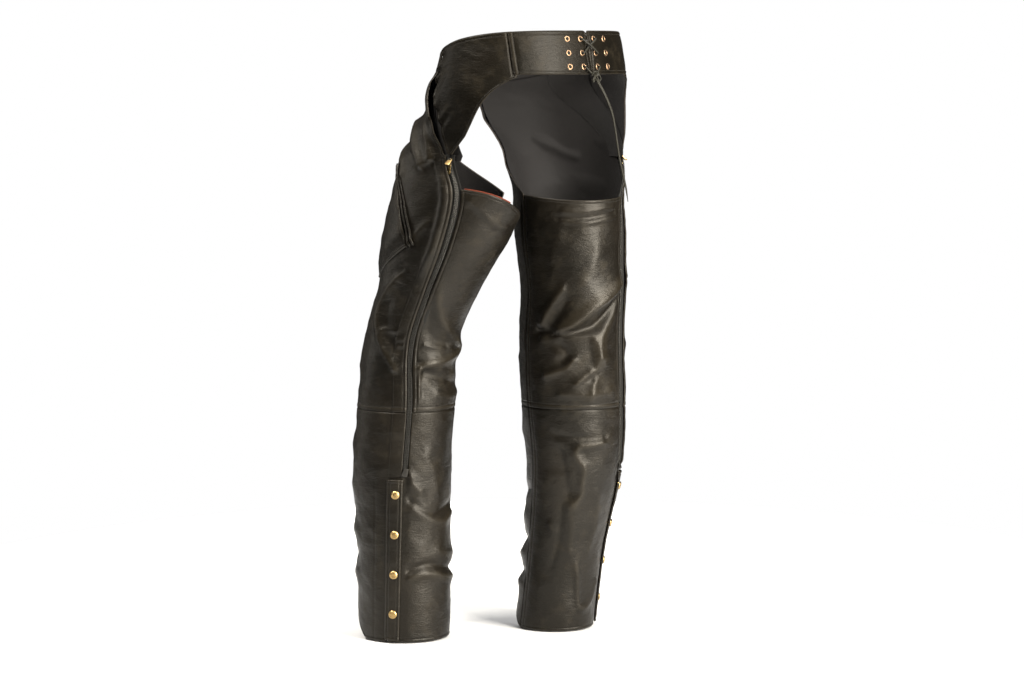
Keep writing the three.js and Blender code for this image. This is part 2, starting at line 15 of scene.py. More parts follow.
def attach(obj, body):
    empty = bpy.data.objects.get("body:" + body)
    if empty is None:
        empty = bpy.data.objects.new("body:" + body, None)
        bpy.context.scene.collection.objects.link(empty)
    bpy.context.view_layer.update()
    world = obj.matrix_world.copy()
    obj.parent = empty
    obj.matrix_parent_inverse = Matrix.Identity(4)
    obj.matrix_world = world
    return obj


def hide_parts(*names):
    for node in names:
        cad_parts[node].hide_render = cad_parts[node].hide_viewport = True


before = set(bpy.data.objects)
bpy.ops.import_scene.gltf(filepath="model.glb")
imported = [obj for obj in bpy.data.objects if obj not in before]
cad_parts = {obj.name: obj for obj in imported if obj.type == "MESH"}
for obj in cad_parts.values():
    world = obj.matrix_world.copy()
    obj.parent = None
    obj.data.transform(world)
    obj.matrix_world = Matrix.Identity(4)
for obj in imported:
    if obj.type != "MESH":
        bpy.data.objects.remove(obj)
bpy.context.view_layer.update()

MM = 0.001
SIDES = ("left", "right")

# %% [markdown]
# The camera stands behind the wearer and to their left, a little above the thighs, and a long
# lens keeps the two legs nearly parallel. It is aimed at a point between them.

# %% Camera
TOP_TO_HEM = 1075
CAMERA_TURN = math.radians(133)
CAMERA_DISTANCE = 5.2
CAMERA_RISE = 0.52
AIM_HEIGHT = 0.529
AIM_ASIDE = -0.032
LENS, FILM_WIDTH = 104, 36
to_right = Vector((math.cos(CAMERA_TURN), math.sin(CAMERA_TURN), 0))
to_camera = Vector((math.sin(CAMERA_TURN), -math.cos(CAMERA_TURN), 0))
aim = Vector((0, 0, AIM_HEIGHT - TOP_TO_HEM * MM)) + to_right * AIM_ASIDE
viewpoint = aim + to_camera * CAMERA_DISTANCE + Vector((0, 0, CAMERA_RISE))
bpy.ops.object.camera_add(location=viewpoint)
camera = bpy.context.object
camera.rotation_euler = (aim - camera.location).to_track_quat("-Z", "Y").to_euler()
camera.data.lens = LENS
camera.data.sensor_width = FILM_WIDTH
bpy.context.scene.camera = camera
print("camera", [round(v, 3) for v in camera.location])

# %% [markdown]
# Leather takes the shape of the leg under it, so every panel is drawn on the same skin as the
# solids: a stack of ovals, joined smoothly, with a height and an angle for each point. Angles
# run from the outer side of the leg, 90 at the back and -90 at the front. These numbers repeat
# the part's own, in millimetres. A point may stand out from the skin, which is how a panel gets
# its folds.

# %% The wearer's shape
LEGS = {
    "left": {"side": 1, "turn": 0, "rows": np.array([
        [0, 135, -182, 80, 82, 40], [150, 133, -184, 83, 85, 43], [300, 129, -191, 86, 88, 47.5],
        [420, 124, -185, 86, 88, 48], [530, 118, -177, 81, 85, 43], [620, 111, -141, 84, 95, 39],
        [707, 105, -104, 92, 120, 36], [795, 99, -70, 94, 135, 29], [860, 97, -45, 95, 140, 13],
        [1000, 90, 0, 100, 140, 13]], float)},
    "right": {"side": -1, "turn": 20, "rows": np.array([
        [0, 115, -46, 70, 71, 47], [150, 113, -22, 71, 72, 56], [300, 110, 5, 83, 85, 66],
        [420, 107, 4, 91, 93, 69], [530, 104, 3, 92, 94, 69], [620, 102, 8, 90, 94, 69],
        [707, 100, 2, 93, 100, 67], [795, 98, 0, 93, 104, 60], [860, 97, -6, 94, 124, 33],
        [1000, 90, 0, 100, 140, 33]], float)},
}
HIPS = np.array([[850, 195, 158, 158], [950, 195, 162, 160], [1000, 190, 150, 140],
                 [1040, 184, 142, 125], [1075, 179, 135, 118]], float)
HIP_BLEND = (850, 985)


def lerp(low, high, t):
    return low + (high - low) * t


def smooth(t):
    t = np.clip(t, 0, 1)
    return t * t * (3 - 2 * t)


def row_at(rows, height):
    height = np.asarray(height, float)
    i = np.clip(np.searchsorted(rows[:, 0], height) - 1, 0, len(rows) - 2)
    before = np.maximum(np.arange(len(rows)) - 1, 0)
    after = np.minimum(np.arange(len(rows)) + 1, len(rows) - 1)
    slope = (rows[after] - rows[before]) / (rows[after, 0] - rows[before, 0])[:, None]
    run = rows[i + 1, 0] - rows[i, 0]
    t = np.clip((height - rows[i, 0]) / run, 0, 1)
    value = rows[i] + (rows[i + 1] - rows[i]) * smooth(t)[..., None]
    value = value + (run * t * (1 - t) ** 2)[..., None] * slope[i]
    return value - (run * t ** 2 * (1 - t))[..., None] * slope[i + 1]


def skin(leg, height, angle, out=0.0):
    height, angle, out = np.broadcast_arrays(np.asarray(height, float), np.asarray(angle, float),
                                             np.asarray(out, float))
    rows, hips = row_at(leg["rows"], height), row_at(HIPS, height)
    hip = smooth((height - HIP_BLEND[0]) / (HIP_BLEND[1] - HIP_BLEND[0]))
    hip_depth = np.where(angle < 0, hips[..., 3], hips[..., 2])
    width = lerp(rows[..., 3], hips[..., 1], hip) + out
    depth = lerp(rows[..., 4], hip_depth, hip) + out
    x = rows[..., 1] * (1 - hip) + width * np.cos(np.radians(angle))
    y = rows[..., 2] * (1 - hip) + depth * np.sin(np.radians(angle))
    return np.stack([leg["side"] * x, y, height - TOP_TO_HEM], -1) * MM


def zip_angle(leg, height):
    return row_at(leg["rows"], height)[..., 5]


for name, leg in LEGS.items():
    around = skin(leg, 420, np.arange(0, 361, 5))
    print(name, "leg is", round(float(np.linalg.norm(np.diff(around, axis=0), axis=1).sum()), 3),
          "m round at the knee")

# %% [markdown]
# Hardware stands square to the skin. A frame gives it its own axes: X across, Y straight out,
# Z up along the leather.


# %% Frames for the hardware
def frame_on(leg, height, angle, out, along=None):
    step = 2
    origin = Vector(skin(leg, height, angle, out))
    ahead = Vector(skin(leg, height, angle + step, out))
    round_it = ahead - Vector(skin(leg, height, angle - step, out))
    up = (along if along else Vector(skin(leg, height + step, angle, out)) - origin).normalized()
    normal = (round_it.cross(up) * leg["side"]).normalized()
    up = normal.cross(up).cross(normal).normalized()
    across = normal.cross(up)
    axes = Matrix((across, normal, up)).transposed().to_4x4()
    axes.translation = origin
    return axes


# A piece made lying on the ground, its top upwards, is turned to face out of such a frame.
FACE_OUT = Matrix.Rotation(-math.pi / 2, 4, "X")
print("frame at the knee", frame_on(LEGS["left"], 415, 90, 0).translation)

# %% [markdown]
# A finish is a graph of shader nodes, and most of it is sums. The small class below lets an
# output of a node be added, scaled and subtracted like a number, so a finish reads as the sum
# that it is. Colours and vectors keep to Mix and Vector Math nodes.


# %% Sums of shader nodes
class Wire:
    def __init__(self, tree, socket):
        self.tree, self.socket = tree, socket

    def math(self, operation, *others, clamp=False):
        node = self.tree.nodes.new("ShaderNodeMath")
        node.operation, node.use_clamp = operation, clamp
        for slot, value in zip(node.inputs, others):
            plug(self.tree, value, slot)
        return Wire(self.tree, node.outputs[0])

    def __add__(self, other):
        return self.math("ADD", self, other)

    def __sub__(self, other):
        return self.math("SUBTRACT", self, other)

    def __rsub__(self, other):
        return self.math("SUBTRACT", other, self)

    def __mul__(self, other):
        return self.math("MULTIPLY", self, other)

    __radd__, __rmul__ = __add__, __mul__

    def between(self, low, high):
        return self.math("MULTIPLY_ADD", self, 1 / (high - low), -low / (high - low), clamp=True)


def plug(tree, value, slot):
    if isinstance(value, Wire):
        tree.links.new(value.socket, slot)
    else:
        slot.default_value = value


class Finish:
    def __init__(self, name):
        self.material = bpy.data.materials.new(name)
        self.material.use_nodes = True
        self.tree = self.material.node_tree
        self.tree.nodes.clear()

    def node(self, kind, settings, inputs, output=0):
        node = self.tree.nodes.new("ShaderNode" + kind)
        for key, value in settings.items():
            setattr(node, key, value)
        for key, value in inputs.items():
            plug(self.tree, value, node.inputs[key])
        return Wire(self.tree, node.outputs[output]) if len(node.outputs) else None

    def place(self):
        return self.node("TexCoord", {}, {}, "Object")

    def attribute(self, name):
        return self.node("Attribute", {"attribute_name": name}, {}, "Fac")

    def noise(self, vector, scale, detail=3.0, roughness=0.5, distortion=0.0):
        return self.node("TexNoise", {}, {"Vector": vector, "Scale": scale, "Detail": detail,
                                          "Roughness": roughness, "Distortion": distortion})

    def cells(self, vector, scale):
        return self.node("TexVoronoi", {}, {"Vector": vector, "Scale": scale}, "Distance")

    def stretch(self, vector, scale):
        return self.node("VectorMath", {"operation": "MULTIPLY"}, {0: vector, 1: scale})

    def mix(self, factor, low, high):
        return self.node("Mix", {"data_type": "RGBA"}, {0: factor, 6: low, 7: high}, 2)

    def bump(self, height, distance, strength=1.0, normal=None):
        inputs = {"Height": height, "Distance": distance, "Strength": strength}
        if normal:
            inputs["Normal"] = normal
        return self.node("Bump", {}, inputs)

    def surface(self, **inputs):
        named = {key.replace("_", " "): value for key, value in inputs.items()}
        shader = self.node("BsdfPrincipled", {}, named)
        self.node("OutputMaterial", {}, {"Surface": shader})
        return self.material


def colour(red, green, blue):
    return (red, green, blue, 1.0)


print("finishes are sums of nodes")

# %% [markdown]
# The lace is a leather thong, cut round and waxed. Its two free ends hang from the knot and lie
# down the back of the right thigh. Each is a tube along a smooth path, and its points repeat the
# solid's. The tube is a little flatter than it is wide, as a cut thong is, and thins to its tip.


# %% Finish of the lace
def lace_finish():
    it = Finish("lace_thong")
    at = it.place()
    patch = it.noise(at, 90, 4)
    fibre = it.noise(it.stretch(at, (1.0, 1.0, 0.25)), 900, 3, 0.6)
    worn = it.noise(at, 260, 5, 0.7)
    tint = it.mix(patch, colour(0.007, 0.0065, 0.0045), colour(0.018, 0.0165, 0.011))
    tint = it.mix(worn.between(0.6, 0.75), tint, colour(0.04, 0.036, 0.025))
    return it.surface(Base_Color=tint, Roughness=0.44 + patch * 0.2,
                      Normal=it.bump(fibre + worn * 0.6, 0.0003, 0.7), Specular_IOR_Level=0.2)


LACE = lace_finish()
LACE_RADIUS = 1.75
print("finish", LACE.name)

# %% [markdown]
# A tube needs a smooth path and a frame that doesn't twist along it. The path is a curve through
# the points, and the frame is carried from ring to ring.


# %% Smooth paths and tubes
def smooth_path(points, step):
    points = np.asarray(points, float)
    padded = np.vstack([2 * points[0] - points[1], points, 2 * points[-1] - points[-2]])
    path = []
    for k in range(1, len(padded) - 2):
        a, b, c, d = padded[k - 1:k + 3]
        count = max(int(np.linalg.norm(c - b) / step), 2)
        t = np.linspace(0, 1, count, endpoint=False)[:, None]
        path.append(0.5 * (2 * b + (c - a) * t + (2 * a - 5 * b + 4 * c - d) * t ** 2
                           + (3 * b - a - 3 * c + d) * t ** 3))
    return np.vstack(path + [points[-1:]])


def mesh_object(name, vertices, faces, materials):
    mesh = bpy.data.meshes.new(name)
    mesh.from_pydata([tuple(v) for v in vertices], [], [tuple(int(i) for i in f) for f in faces])
    mesh.validate()
    mesh.shade_smooth()
    obj = bpy.data.objects.new(name, mesh)
    bpy.context.scene.collection.objects.link(obj)
    for material in materials:
        mesh.materials.append(material)
    return obj


def tube_mesh(path, radius, sides, flat=1.0, closed=False):
    path = np.asarray(path, float)
    radius = np.broadcast_to(np.asarray(radius, float), len(path))
    ahead = np.roll(path, -1, 0) - np.roll(path, 1, 0) if closed else np.gradient(path, axis=0)
    ahead = ahead / np.linalg.norm(ahead, axis=1)[:, None]
    side = np.cross(ahead[0], (0.3, 0.2, 1.0))
    vertices = []
    for k, centre in enumerate(path):
        side = side - ahead[k] * side.dot(ahead[k])
        side = side / np.linalg.norm(side)
        other = np.cross(ahead[k], side)
        for n in range(sides):
            turn = 2 * math.pi * n / sides
            spoke = side * math.cos(turn) + other * flat * math.sin(turn)
            vertices.append(centre + radius[k] * spoke)
    rings = len(path)
    faces = []
    for k in range(rings if closed else rings - 1):
        for n in range(sides):
            here, there, m = k * sides, (k + 1) % rings * sides, (n + 1) % sides
            faces.append((here + n, here + m, there + m, there + n))
    if not closed:
        faces += [tuple(range(sides))[::-1], tuple((rings - 1) * sides + n for n in range(sides))]
    return vertices, faces


def tube(name, path, radius, sides, material, flat=1.0, closed=False):
    vertices, faces = tube_mesh(path, radius, sides, flat, closed)
    return mesh_object(name, vertices, faces, [material])


LACE_TAILS = {
    "long": [
        (4.5, 159, 993), (1, 164, 982), (-4, 169.5, 968), (-11, 174, 950), (-18, 176.5, 930),
        (-23, 177.5, 905), (-28, 178, 880), (-34, 178.5, 855), (-41, 179, 832), (-49, 179, 808),
        (-56, 178.5, 780)],
    "short": [
        (8.5, 159.5, 993), (6, 166, 982), (1.5, 172.5, 968), (-5, 178, 950), (-12, 181, 930),
        (-17.5, 182.5, 905), (-22.5, 183, 880), (-28, 183.5, 855), (-35, 184, 832),
        (-42, 184, 806)],
}
TIP_LENGTH = 0.022
for which, route in LACE_TAILS.items():
    route = np.array(route, float)
    route[:, 2] -= TOP_TO_HEM
    path = smooth_path(route * MM, 0.006)
    run = np.append(0, np.cumsum(np.linalg.norm(np.diff(path, axis=0), axis=1)))
    left_over = (run[-1] - run) / TIP_LENGTH
    radius = LACE_RADIUS * MM * (0.35 + 0.65 * smooth(left_over))
    tail = tube(f"thong_end_{which}", path, radius, 12, LACE, flat=0.86)
    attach(tail, "chaps")
    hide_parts(f"lace_tail_{which}")
    print("free lace end", which, round(float(run[-1]), 3), "m")

# %% [markdown]
# The leather is full-grain cowhide, dyed nearly black over brown, with a soft polish. Seen close
# it is a net of small raised cells with finer wrinkles across them. It is browner and duller on
# the flat and shinier on the folds, where it has been rubbed. Its colour is painted lighter on the
# crests of the folds, partly as rubbed wear and partly as a painted highlight, and it is paler
# near the edges with wear. The panels carry two attributes for this: how far a fold stands up,
# and how close an edge is.


# %% Finish of the leather
def leather_finish(name, deep, warm, lit, dull, shine):
    it = Finish(name)
    at = it.place()
    rise, edge = it.attribute("fold"), it.attribute("edge")
    cloud = it.noise(at, 7, 4, 0.55)
    patch = it.noise(at, 34, 5, 0.62)
    cell = it.cells(at, 620)
    fine = it.cells(at, 1500)
    lines = it.noise(it.stretch(at, (1.0, 1.0, 2.4)), 130, 6, 0.68, 0.5)
    creases = it.noise(it.stretch(at, (1.0, 1.0, 3.4)), 46, 4, 0.6, 0.8)
    pores = it.noise(at, 2600, 2, 0.5)
    base = it.mix(cloud.between(0.35, 0.7), deep, warm)
    base = it.mix(patch.between(0.52, 0.78) * 0.7, base, lit)
    # painted highlight: the crests of the folds are painted lighter, partly as rubbed wear
    base = it.mix(rise.between(0.3, 1.0) * 0.55, base, lit)
    base = it.mix(edge * 0.6, base, lit)
    rough = 0.29 + dull + patch * 0.24 + cell * 0.05 - rise * 0.07
    relief = cell * 0.62 + fine * 0.2 + pores * 0.1 + lines * 0.75
    normal = it.bump(creases, 0.0018, 0.55)
    normal = it.bump(relief, 0.00045, 0.75, normal)
    return it.surface(Base_Color=base, Roughness=rough, Normal=normal, Coat_Weight=0.03,
                      Coat_Roughness=0.24, Specular_IOR_Level=shine,
                      Specular_Tint=colour(1.0, 0.94, 0.84))


LEATHER = leather_finish("cowhide_black", colour(0.0024, 0.0019, 0.0012),
                         colour(0.0062, 0.0047, 0.0029), colour(0.016, 0.0128, 0.0082),
                         dull=0.0, shine=0.22)
BELT_LEATHER = leather_finish("cowhide_belt", colour(0.0024, 0.0019, 0.0011),
                              colour(0.0056, 0.0042, 0.0024), colour(0.016, 0.0125, 0.0075),
                              dull=0.03, shine=0.12)


def edge_finish():
    it = Finish("cut_edge")
    at = it.place()
    layers = it.noise(at, 700, 4, 0.7)
    tint = it.mix(layers, colour(0.012, 0.010, 0.008), colour(0.05, 0.036, 0.026))
    return it.surface(Base_Color=tint, Roughness=0.6 + layers * 0.2,
                      Normal=it.bump(layers, 0.0003, 0.6))


def flesh_finish():
    it = Finish("flesh_side")
    at = it.place()
    nap, patch = it.noise(at, 1100, 5, 0.75), it.noise(at, 28, 4, 0.6)
    tint = it.mix(patch, colour(0.028, 0.020, 0.014), colour(0.055, 0.040, 0.028))
    tint = it.mix(nap.between(0.5, 0.8) * 0.6, tint, colour(0.085, 0.064, 0.047))
    return it.surface(Base_Color=tint, Roughness=0.93, Normal=it.bump(nap, 0.0006, 0.7),
                      Sheen_Weight=0.25, Sheen_Roughness=0.5)


EDGE, FLESH = edge_finish(), flesh_finish()
print("finishes", LEATHER.name, BELT_LEATHER.name, EDGE.name, FLESH.name)

# %% [markdown]
# Inside, the thighs and hips are lined with a thin dark satin twill so that they slide over
# trousers. Its weave follows the cloth, so it reads the panel's own UV map, which is laid out in
# metres. The same class of weave, coarser, makes the tapes of the zips.


# %% Finish of the woven cloths
def woven_finish(name, dark, light, threads, rough, slant, sheen):
    it = Finish(name)
    cut = it.node("TexCoord", {}, {}, "UV")
    ends = it.node("SeparateXYZ", {}, {"Vector": cut}, "X")
    picks = it.node("SeparateXYZ", {}, {"Vector": cut}, "Y")
    ribs = ((ends + picks * slant) * threads).math("SINE", (ends + picks * slant) * threads)
    cross = (picks * (threads * 0.7)).math("SINE", picks * (threads * 0.7))
    weave = ribs * 0.35 + cross * 0.15 + 0.5
    at = it.place()
    fade, slub = it.noise(at, 14, 4, 0.6), it.noise(at, 420, 3, 0.6)
    tint = it.mix(weave * 0.6 + slub * 0.4, dark, light)
    tint = it.mix(fade.between(0.55, 0.8) * 0.3, tint, dark)
    return it.surface(Base_Color=tint, Roughness=rough + slub * 0.15,
                      Normal=it.bump(weave + slub * 0.5, 0.0003, 0.6), Sheen_Weight=sheen,
                      Sheen_Roughness=0.4, Specular_IOR_Level=0.14)


LINING = woven_finish("lining_twill", colour(0.005, 0.0045, 0.0045),
                      colour(0.017, 0.0155, 0.015), threads=5200, rough=0.55, slant=1.0, sheen=0.04)
TAPE = woven_finish("zip_tape", colour(0.005, 0.005, 0.0045), colour(0.019, 0.018, 0.016),
                    threads=3600, rough=0.75, slant=0.0, sheen=0.03)
BINDING = woven_finish("rust_binding", colour(0.10, 0.020, 0.010), colour(0.24, 0.050, 0.024),
                       threads=3000, rough=0.7, slant=0.0, sheen=0.2)
print("finishes", LINING.name, TAPE.name, BINDING.name)

# %% [markdown]
# The thread is a waxed three-ply, black, a little paler than the leather where it is rubbed. The
# metal is brass, browned in its hollows and rubbed bright on its crowns. The teeth of the zips
# are a dark oxidised metal.


# %% Finish of thread and metal
def thread_finish():
    it = Finish("waxed_thread")
    ply = it.noise(it.place(), 2200, 2)
    tint = it.mix(ply, colour(0.006, 0.005, 0.004), colour(0.028, 0.024, 0.017))
    return it.surface(Base_Color=tint, Roughness=0.55 + ply * 0.1,
                      Normal=it.bump(ply, 0.0002, 0.5), Specular_IOR_Level=0.25)


def metal_finish(name, bright, brown, dull, rough, metallic=1.0):
    it = Finish(name)
    at = it.place()
    stain = it.noise(at, 260, 5, 0.65)
    scuff = it.noise(it.stretch(at, (1.0, 1.0, 0.3)), 1700, 4, 0.7)
    crown = it.node("NewGeometry", {}, {}, "Pointiness").between(0.47, 0.58)
    tint = it.mix(stain.between(0.42, 0.72), bright, dull)
    tint = it.mix(1 - crown, tint, brown)
    worn = rough + stain * 0.16 + scuff * 0.08
    return it.surface(Base_Color=tint, Roughness=worn, Metallic=metallic,
                      Normal=it.bump(scuff, 0.0001, 0.35))


THREAD = thread_finish()
BRASS = metal_finish("aged_brass", colour(0.52, 0.37, 0.165), colour(0.22, 0.14, 0.055),
                     colour(0.40, 0.27, 0.11), 0.2)
COPPER = metal_finish("eyelet_brass", colour(0.33, 0.22, 0.14), colour(0.15, 0.09, 0.05),
                      colour(0.27, 0.17, 0.10), 0.30)
TEETH = metal_finish("zip_teeth", colour(0.075, 0.072, 0.065), colour(0.022, 0.020, 0.018),
                     colour(0.045, 0.042, 0.037), 0.34, 0.85)
print("finishes", THREAD.name, BRASS.name, COPPER.name, TEETH.name)

# %% [markdown]
# Worn leather folds where the leg bends: behind the knee, over the front of the thigh, down the
# shin, and under every seam that holds one layer shorter than the next. Cloth simulation on two
# layers of stiff hide needs minutes for each leg, so the folds are listed, one line for each
# crest or crease: how high it stands, how wide it is on either side of its line, and the points
# that it runs through, each a height and an angle.

# %% Folds of the leather
FOLDS = {
    "left": [
        # the front of the hip and thigh
        (9.0, 7, 11, [(918, -52), (903, -42), (884, -33), (865, -22), (846, -12)]),
        (7.5, 6, 9, [(915, -28), (900, -20), (880, -11), (856, -4)]),
        (-6.0, 8, 6, [(878, -52), (862, -38), (848, -24)]),
        (6.0, 8, 10, [(872, -66), (856, -52), (838, -42), (826, -36)]),
        (3.0, 22, 22, [(828, -36), (818, -30)]),
        (6.5, 8, 12, [(1000, -38), (977, -31), (951, -22), (930, -17)]),
        (-5.0, 7, 7, [(946, -46), (930, -36), (915, -30), (900, -26)]),
        (3.6, 8, 12, [(930, -62), (900, -48), (872, -40)]),
        (2.6, 10, 12, [(900, -85), (876, -66), (850, -52)]),
        (2.8, 12, 12, [(925, -100), (905, -84), (893, -70)]),
        # from the pocket's foot down to the knee
        (3.4, 7, 7, [(713, 2), (730, 6), (745, 12)]),
        (5.2, 14, 7, [(645, -4), (618, -15), (592, -21), (567, -15), (533, 0), (508, 15),
                      (486, 26)]),
        (-3.2, 12, 14, [(600, -6), (570, 2), (540, 14), (515, 24)]),
        (2.8, 6, 6, [(553, 0), (552, 19)]),
        (3.0, 5, 5, [(536, 24), (537, 31)]),
        (2.6, 4, 4, [(526, 27), (526, 33)]),
        (3.6, 20, 16, [(600, -60), (560, -66), (520, -60), (486, -52)]),
        (3.0, 12, 18, [(560, -120), (545, -95), (540, -70)]),
        (-2.6, 10, 10, [(522, -118), (510, -90), (512, -66)]),
        (3.0, 12, 14, [(492, -130), (478, -100), (480, -62)]),
        # the back of the thigh and of the knee
        (2.8, 6, 8, [(790, 42), (782, 44), (763, 58), (743, 75), (736, 92)]),
        (-2.2, 7, 7, [(772, 44), (752, 60), (731, 78)]),
        (5.0, 12, 7, [(640, 44), (612, 52), (590, 60), (565, 75), (540, 97), (524, 122),
                      (518, 150)]),
        (-5.5, 15, 12, [(585, 50), (556, 58), (536, 74), (528, 92)]),
        (2.2, 4, 4, [(527, 58), (521, 76), (515, 104)]),
        (7.5, 10, 11, [(486, 51), (492, 66), (497, 86), (504, 112), (510, 140), (512, 165)]),
        (-5.0, 9, 10, [(480, 64), (468, 84), (458, 106), (450, 135)]),
        (4.4, 4, 6, [(484, 57), (470, 57), (452, 57), (425, 58)]),
        (3.0, 10, 12, [(440, 82), (432, 106), (436, 140)]),
        # the calf
        (3.4, 8, 10, [(296, 52), (280, 57), (268, 66)]),
        (-4.4, 6, 8, [(256, 50), (243, 61), (230, 74), (226, 90), (234, 108), (240, 128)]),
        (4.6, 9, 11, [(241, 58), (227, 72), (215, 88), (213, 104), (222, 124)]),
        (2.4, 14, 12, [(330, 72), (300, 84), (270, 88)]),
        (-4.8, 6, 8, [(127, 50), (134, 62), (138, 76), (131, 100), (124, 128), (120, 150)]),
        (5.0, 8, 12, [(119, 53), (122, 66), (120, 84), (112, 104), (108, 130)]),
        (3.2, 10, 12, [(160, 92), (150, 112), (148, 140)]),
        # the shin
        (2.4, 16, 16, [(370, -140), (350, -110), (352, -76), (342, -40)]),
        (-2.0, 14, 12, [(322, -140), (312, -100), (318, -62)]),
        (2.6, 16, 18, [(262, -140), (270, -104), (266, -66), (274, -36)]),
        (-2.4, 12, 14, [(228, -130), (232, -96), (230, -60)]),
        (3.8, 14, 14, [(196, -140), (200, -106), (196, -66), (188, -30)]),
        (-3.6, 9, 10, [(158, -136), (155, -100), (150, -60), (148, -36)]),
        (4.0, 12, 13, [(128, -140), (122, -100), (116, -62), (112, -30)]),
        (-2.4, 9, 9, [(98, -130), (94, -96), (90, -56)]),
    ],
    "right": [
        # three soft folds under the back panel's top edge
        (2.2, 5, 6, [(776, 150), (777, 134), (780, 108), (782, 90)]),
        (2.6, 5, 5, [(760, 146), (760, 127), (765, 104), (767, 86)]),
        (-3.2, 4, 5, [(748, 152), (747, 127), (752, 100), (756, 84)]),
        (2.8, 4, 9, [(743, 146), (740, 122), (746, 98), (751, 82)]),
        # the long diagonal fold down to the knee
        (9.5, 18, 8, [(632, 70), (627, 74), (611, 90), (591, 112), (571, 128), (556, 139),
                      (548, 150)]),
        (-9.0, 10, 11, [(612, 76), (590, 88), (566, 104), (553, 118), (546, 140), (545, 160),
                        (546, 176)]),
        (6.0, 10, 14, [(628, 72), (602, 78), (577, 88), (548, 101), (520, 105), (500, 104)]),
        (5.0, 8, 11, [(537, 172), (539, 144), (541, 118), (532, 112), (505, 108), (484, 109),
                      (458, 113), (424, 118)]),
        (4.6, 10, 6, [(622, 150), (606, 157), (582, 166), (557, 173)]),
        (-3.6, 10, 8, [(600, 146), (580, 152), (562, 158)]),
        (5.2, 8, 5, [(470, 168), (478, 154), (485, 145), (497, 137)]),
        (-4.0, 9, 9, [(522, 150), (508, 142), (494, 150)]),
        (4.2, 5, 6, [(455, 134), (466, 126), (477, 117)]),
        (-3.0, 6, 6, [(462, 116), (474, 108)]),
        (2.4, 14, 14, [(690, 110), (660, 116), (640, 124)]),
        (2.0, 10, 10, [(720, 150), (680, 158), (640, 160)]),
        (3.2, 9, 9, [(440, 92), (434, 120), (436, 150)]),
        # the outer side above the knee
        (3.6, 14, 10, [(640, 40), (600, 34), (560, 22), (530, 8), (505, -8)]),
        (-3.0, 10, 10, [(580, 50), (550, 40), (520, 30)]),
        (4.0, 12, 12, [(520, 54), (500, 30), (492, 0), (486, -40)]),
        # the calf and the outside of the shin
        (-3.4, 6, 7, [(362, 158), (359, 138), (356, 112), (358, 100)]),
        (4.6, 8, 9, [(350, 104), (346, 118), (343, 132), (330, 137), (315, 132), (300, 126),
                     (275, 127), (254, 126), (236, 134)]),
        (-4.0, 12, 7, [(330, 154), (300, 150), (275, 146), (262, 142)]),
        (2.8, 10, 14, [(230, 138), (190, 132), (150, 130)]),
        (-2.6, 8, 8, [(240, 150), (174, 147), (122, 153)]),
        (3.0, 8, 8, [(198, 162), (188, 156)]),
        (3.4, 7, 9, [(124, 118), (96, 112), (70, 109), (46, 105), (41, 92), (56, 78), (84, 72)]),
        (2.6, 12, 12, [(250, 100), (200, 96), (150, 98)]),
        # the front of the thigh
        (4.2, 10, 14, [(905, -24), (884, -18), (865, -8), (842, 4)]),
        (3.6, 9, 12, [(930, -58), (900, -44), (872, -30)]),
        (-3.2, 9, 9, [(880, -58), (862, -40), (848, -24)]),
        (3.4, 8, 12, [(1000, -36), (977, -29), (951, -19), (926, -12), (900, -4)]),
        (2.8, 12, 12, [(925, -100), (905, -84), (893, -70)]),
        (2.4, 22, 20, [(760, -40), (700, -46), (640, -50)]),
        (3.2, 14, 14, [(560, -110), (545, -80), (540, -46)]),
        (-2.8, 10, 10, [(522, -112), (510, -80), (512, -46)]),
        (3.4, 12, 14, [(492, -120), (478, -90), (480, -46)]),
        # the shin, where the length of the leg stacks up on the boot
        (-3.8, 11, 10, [(266, -176), (258, -150), (252, -120), (256, -84)]),
        (4.4, 15, 16, [(222, -174), (206, -146), (200, -116), (206, -76), (214, -40)]),
        (-5.4, 8, 9, [(164, -176), (168, -146), (160, -116), (158, -76)]),
        (5.6, 12, 12, [(132, -174), (138, -146), (130, -112), (126, -70), (120, -30)]),
        (-4.6, 7, 7, [(104, -172), (106, -146), (100, -112), (96, -76)]),
        (4.6, 9, 10, [(78, -168), (82, -142), (84, -116)]),
        (3.0, 14, 14, [(360, -130), (346, -100), (350, -60), (344, -30)]),
        (-2.8, 10, 10, [(318, -120), (312, -90), (316, -52)]),
    ],
}
ROUND = 88 * math.pi / 180  # millimetres of leather in a degree round the leg
SLACK_SEED = {"left": 11, "right": 47}
FOLD_STEP, FOLD_SHARPNESS = 7, 1.7


def fold_rise(leg_name, height, angle):
    """How far the folds push the leather out, in millimetres."""
    at = np.stack([np.asarray(angle, float) * ROUND, np.asarray(height, float)], -1)
    total = np.zeros(at.shape[:-1])
    for rise, one_side, other_side, line in FOLDS[leg_name]:
        path = smooth_path([(a * ROUND, h) for h, a in line], FOLD_STEP)
        nearest, beside = np.full(total.shape, 1e9), np.zeros(total.shape)
        for a, b in zip(path[:-1], path[1:]):
            run = b - a
            along = np.clip(((at - a) @ run) / run.dot(run), 0, 1)
            off = at - (a + along[..., None] * run)
            away = np.hypot(off[..., 0], off[..., 1])
            closer = away < nearest
            nearest = np.where(closer, away, nearest)
            beside = np.where(closer, run[0] * off[..., 1] - run[1] * off[..., 0], beside)
        width = np.where(beside > 0, one_side, other_side)
        total += rise * np.exp(-(nearest / width) ** FOLD_SHARPNESS)
    return total


def hills(x, y, seed):
    """Smooth random hills about one unit across, from -1 to 1."""
    table = np.random.RandomState(seed).uniform(-1, 1, (64, 64))
    x0, y0 = np.floor(x).astype(int), np.floor(y).astype(int)
    u, v = smooth(x - x0), smooth(y - y0)
    low = lerp(table[x0 % 64, y0 % 64], table[(x0 + 1) % 64, y0 % 64], u)
    high = lerp(table[x0 % 64, (y0 + 1) % 64], table[(x0 + 1) % 64, (y0 + 1) % 64], u)
    return lerp(low, high, v)


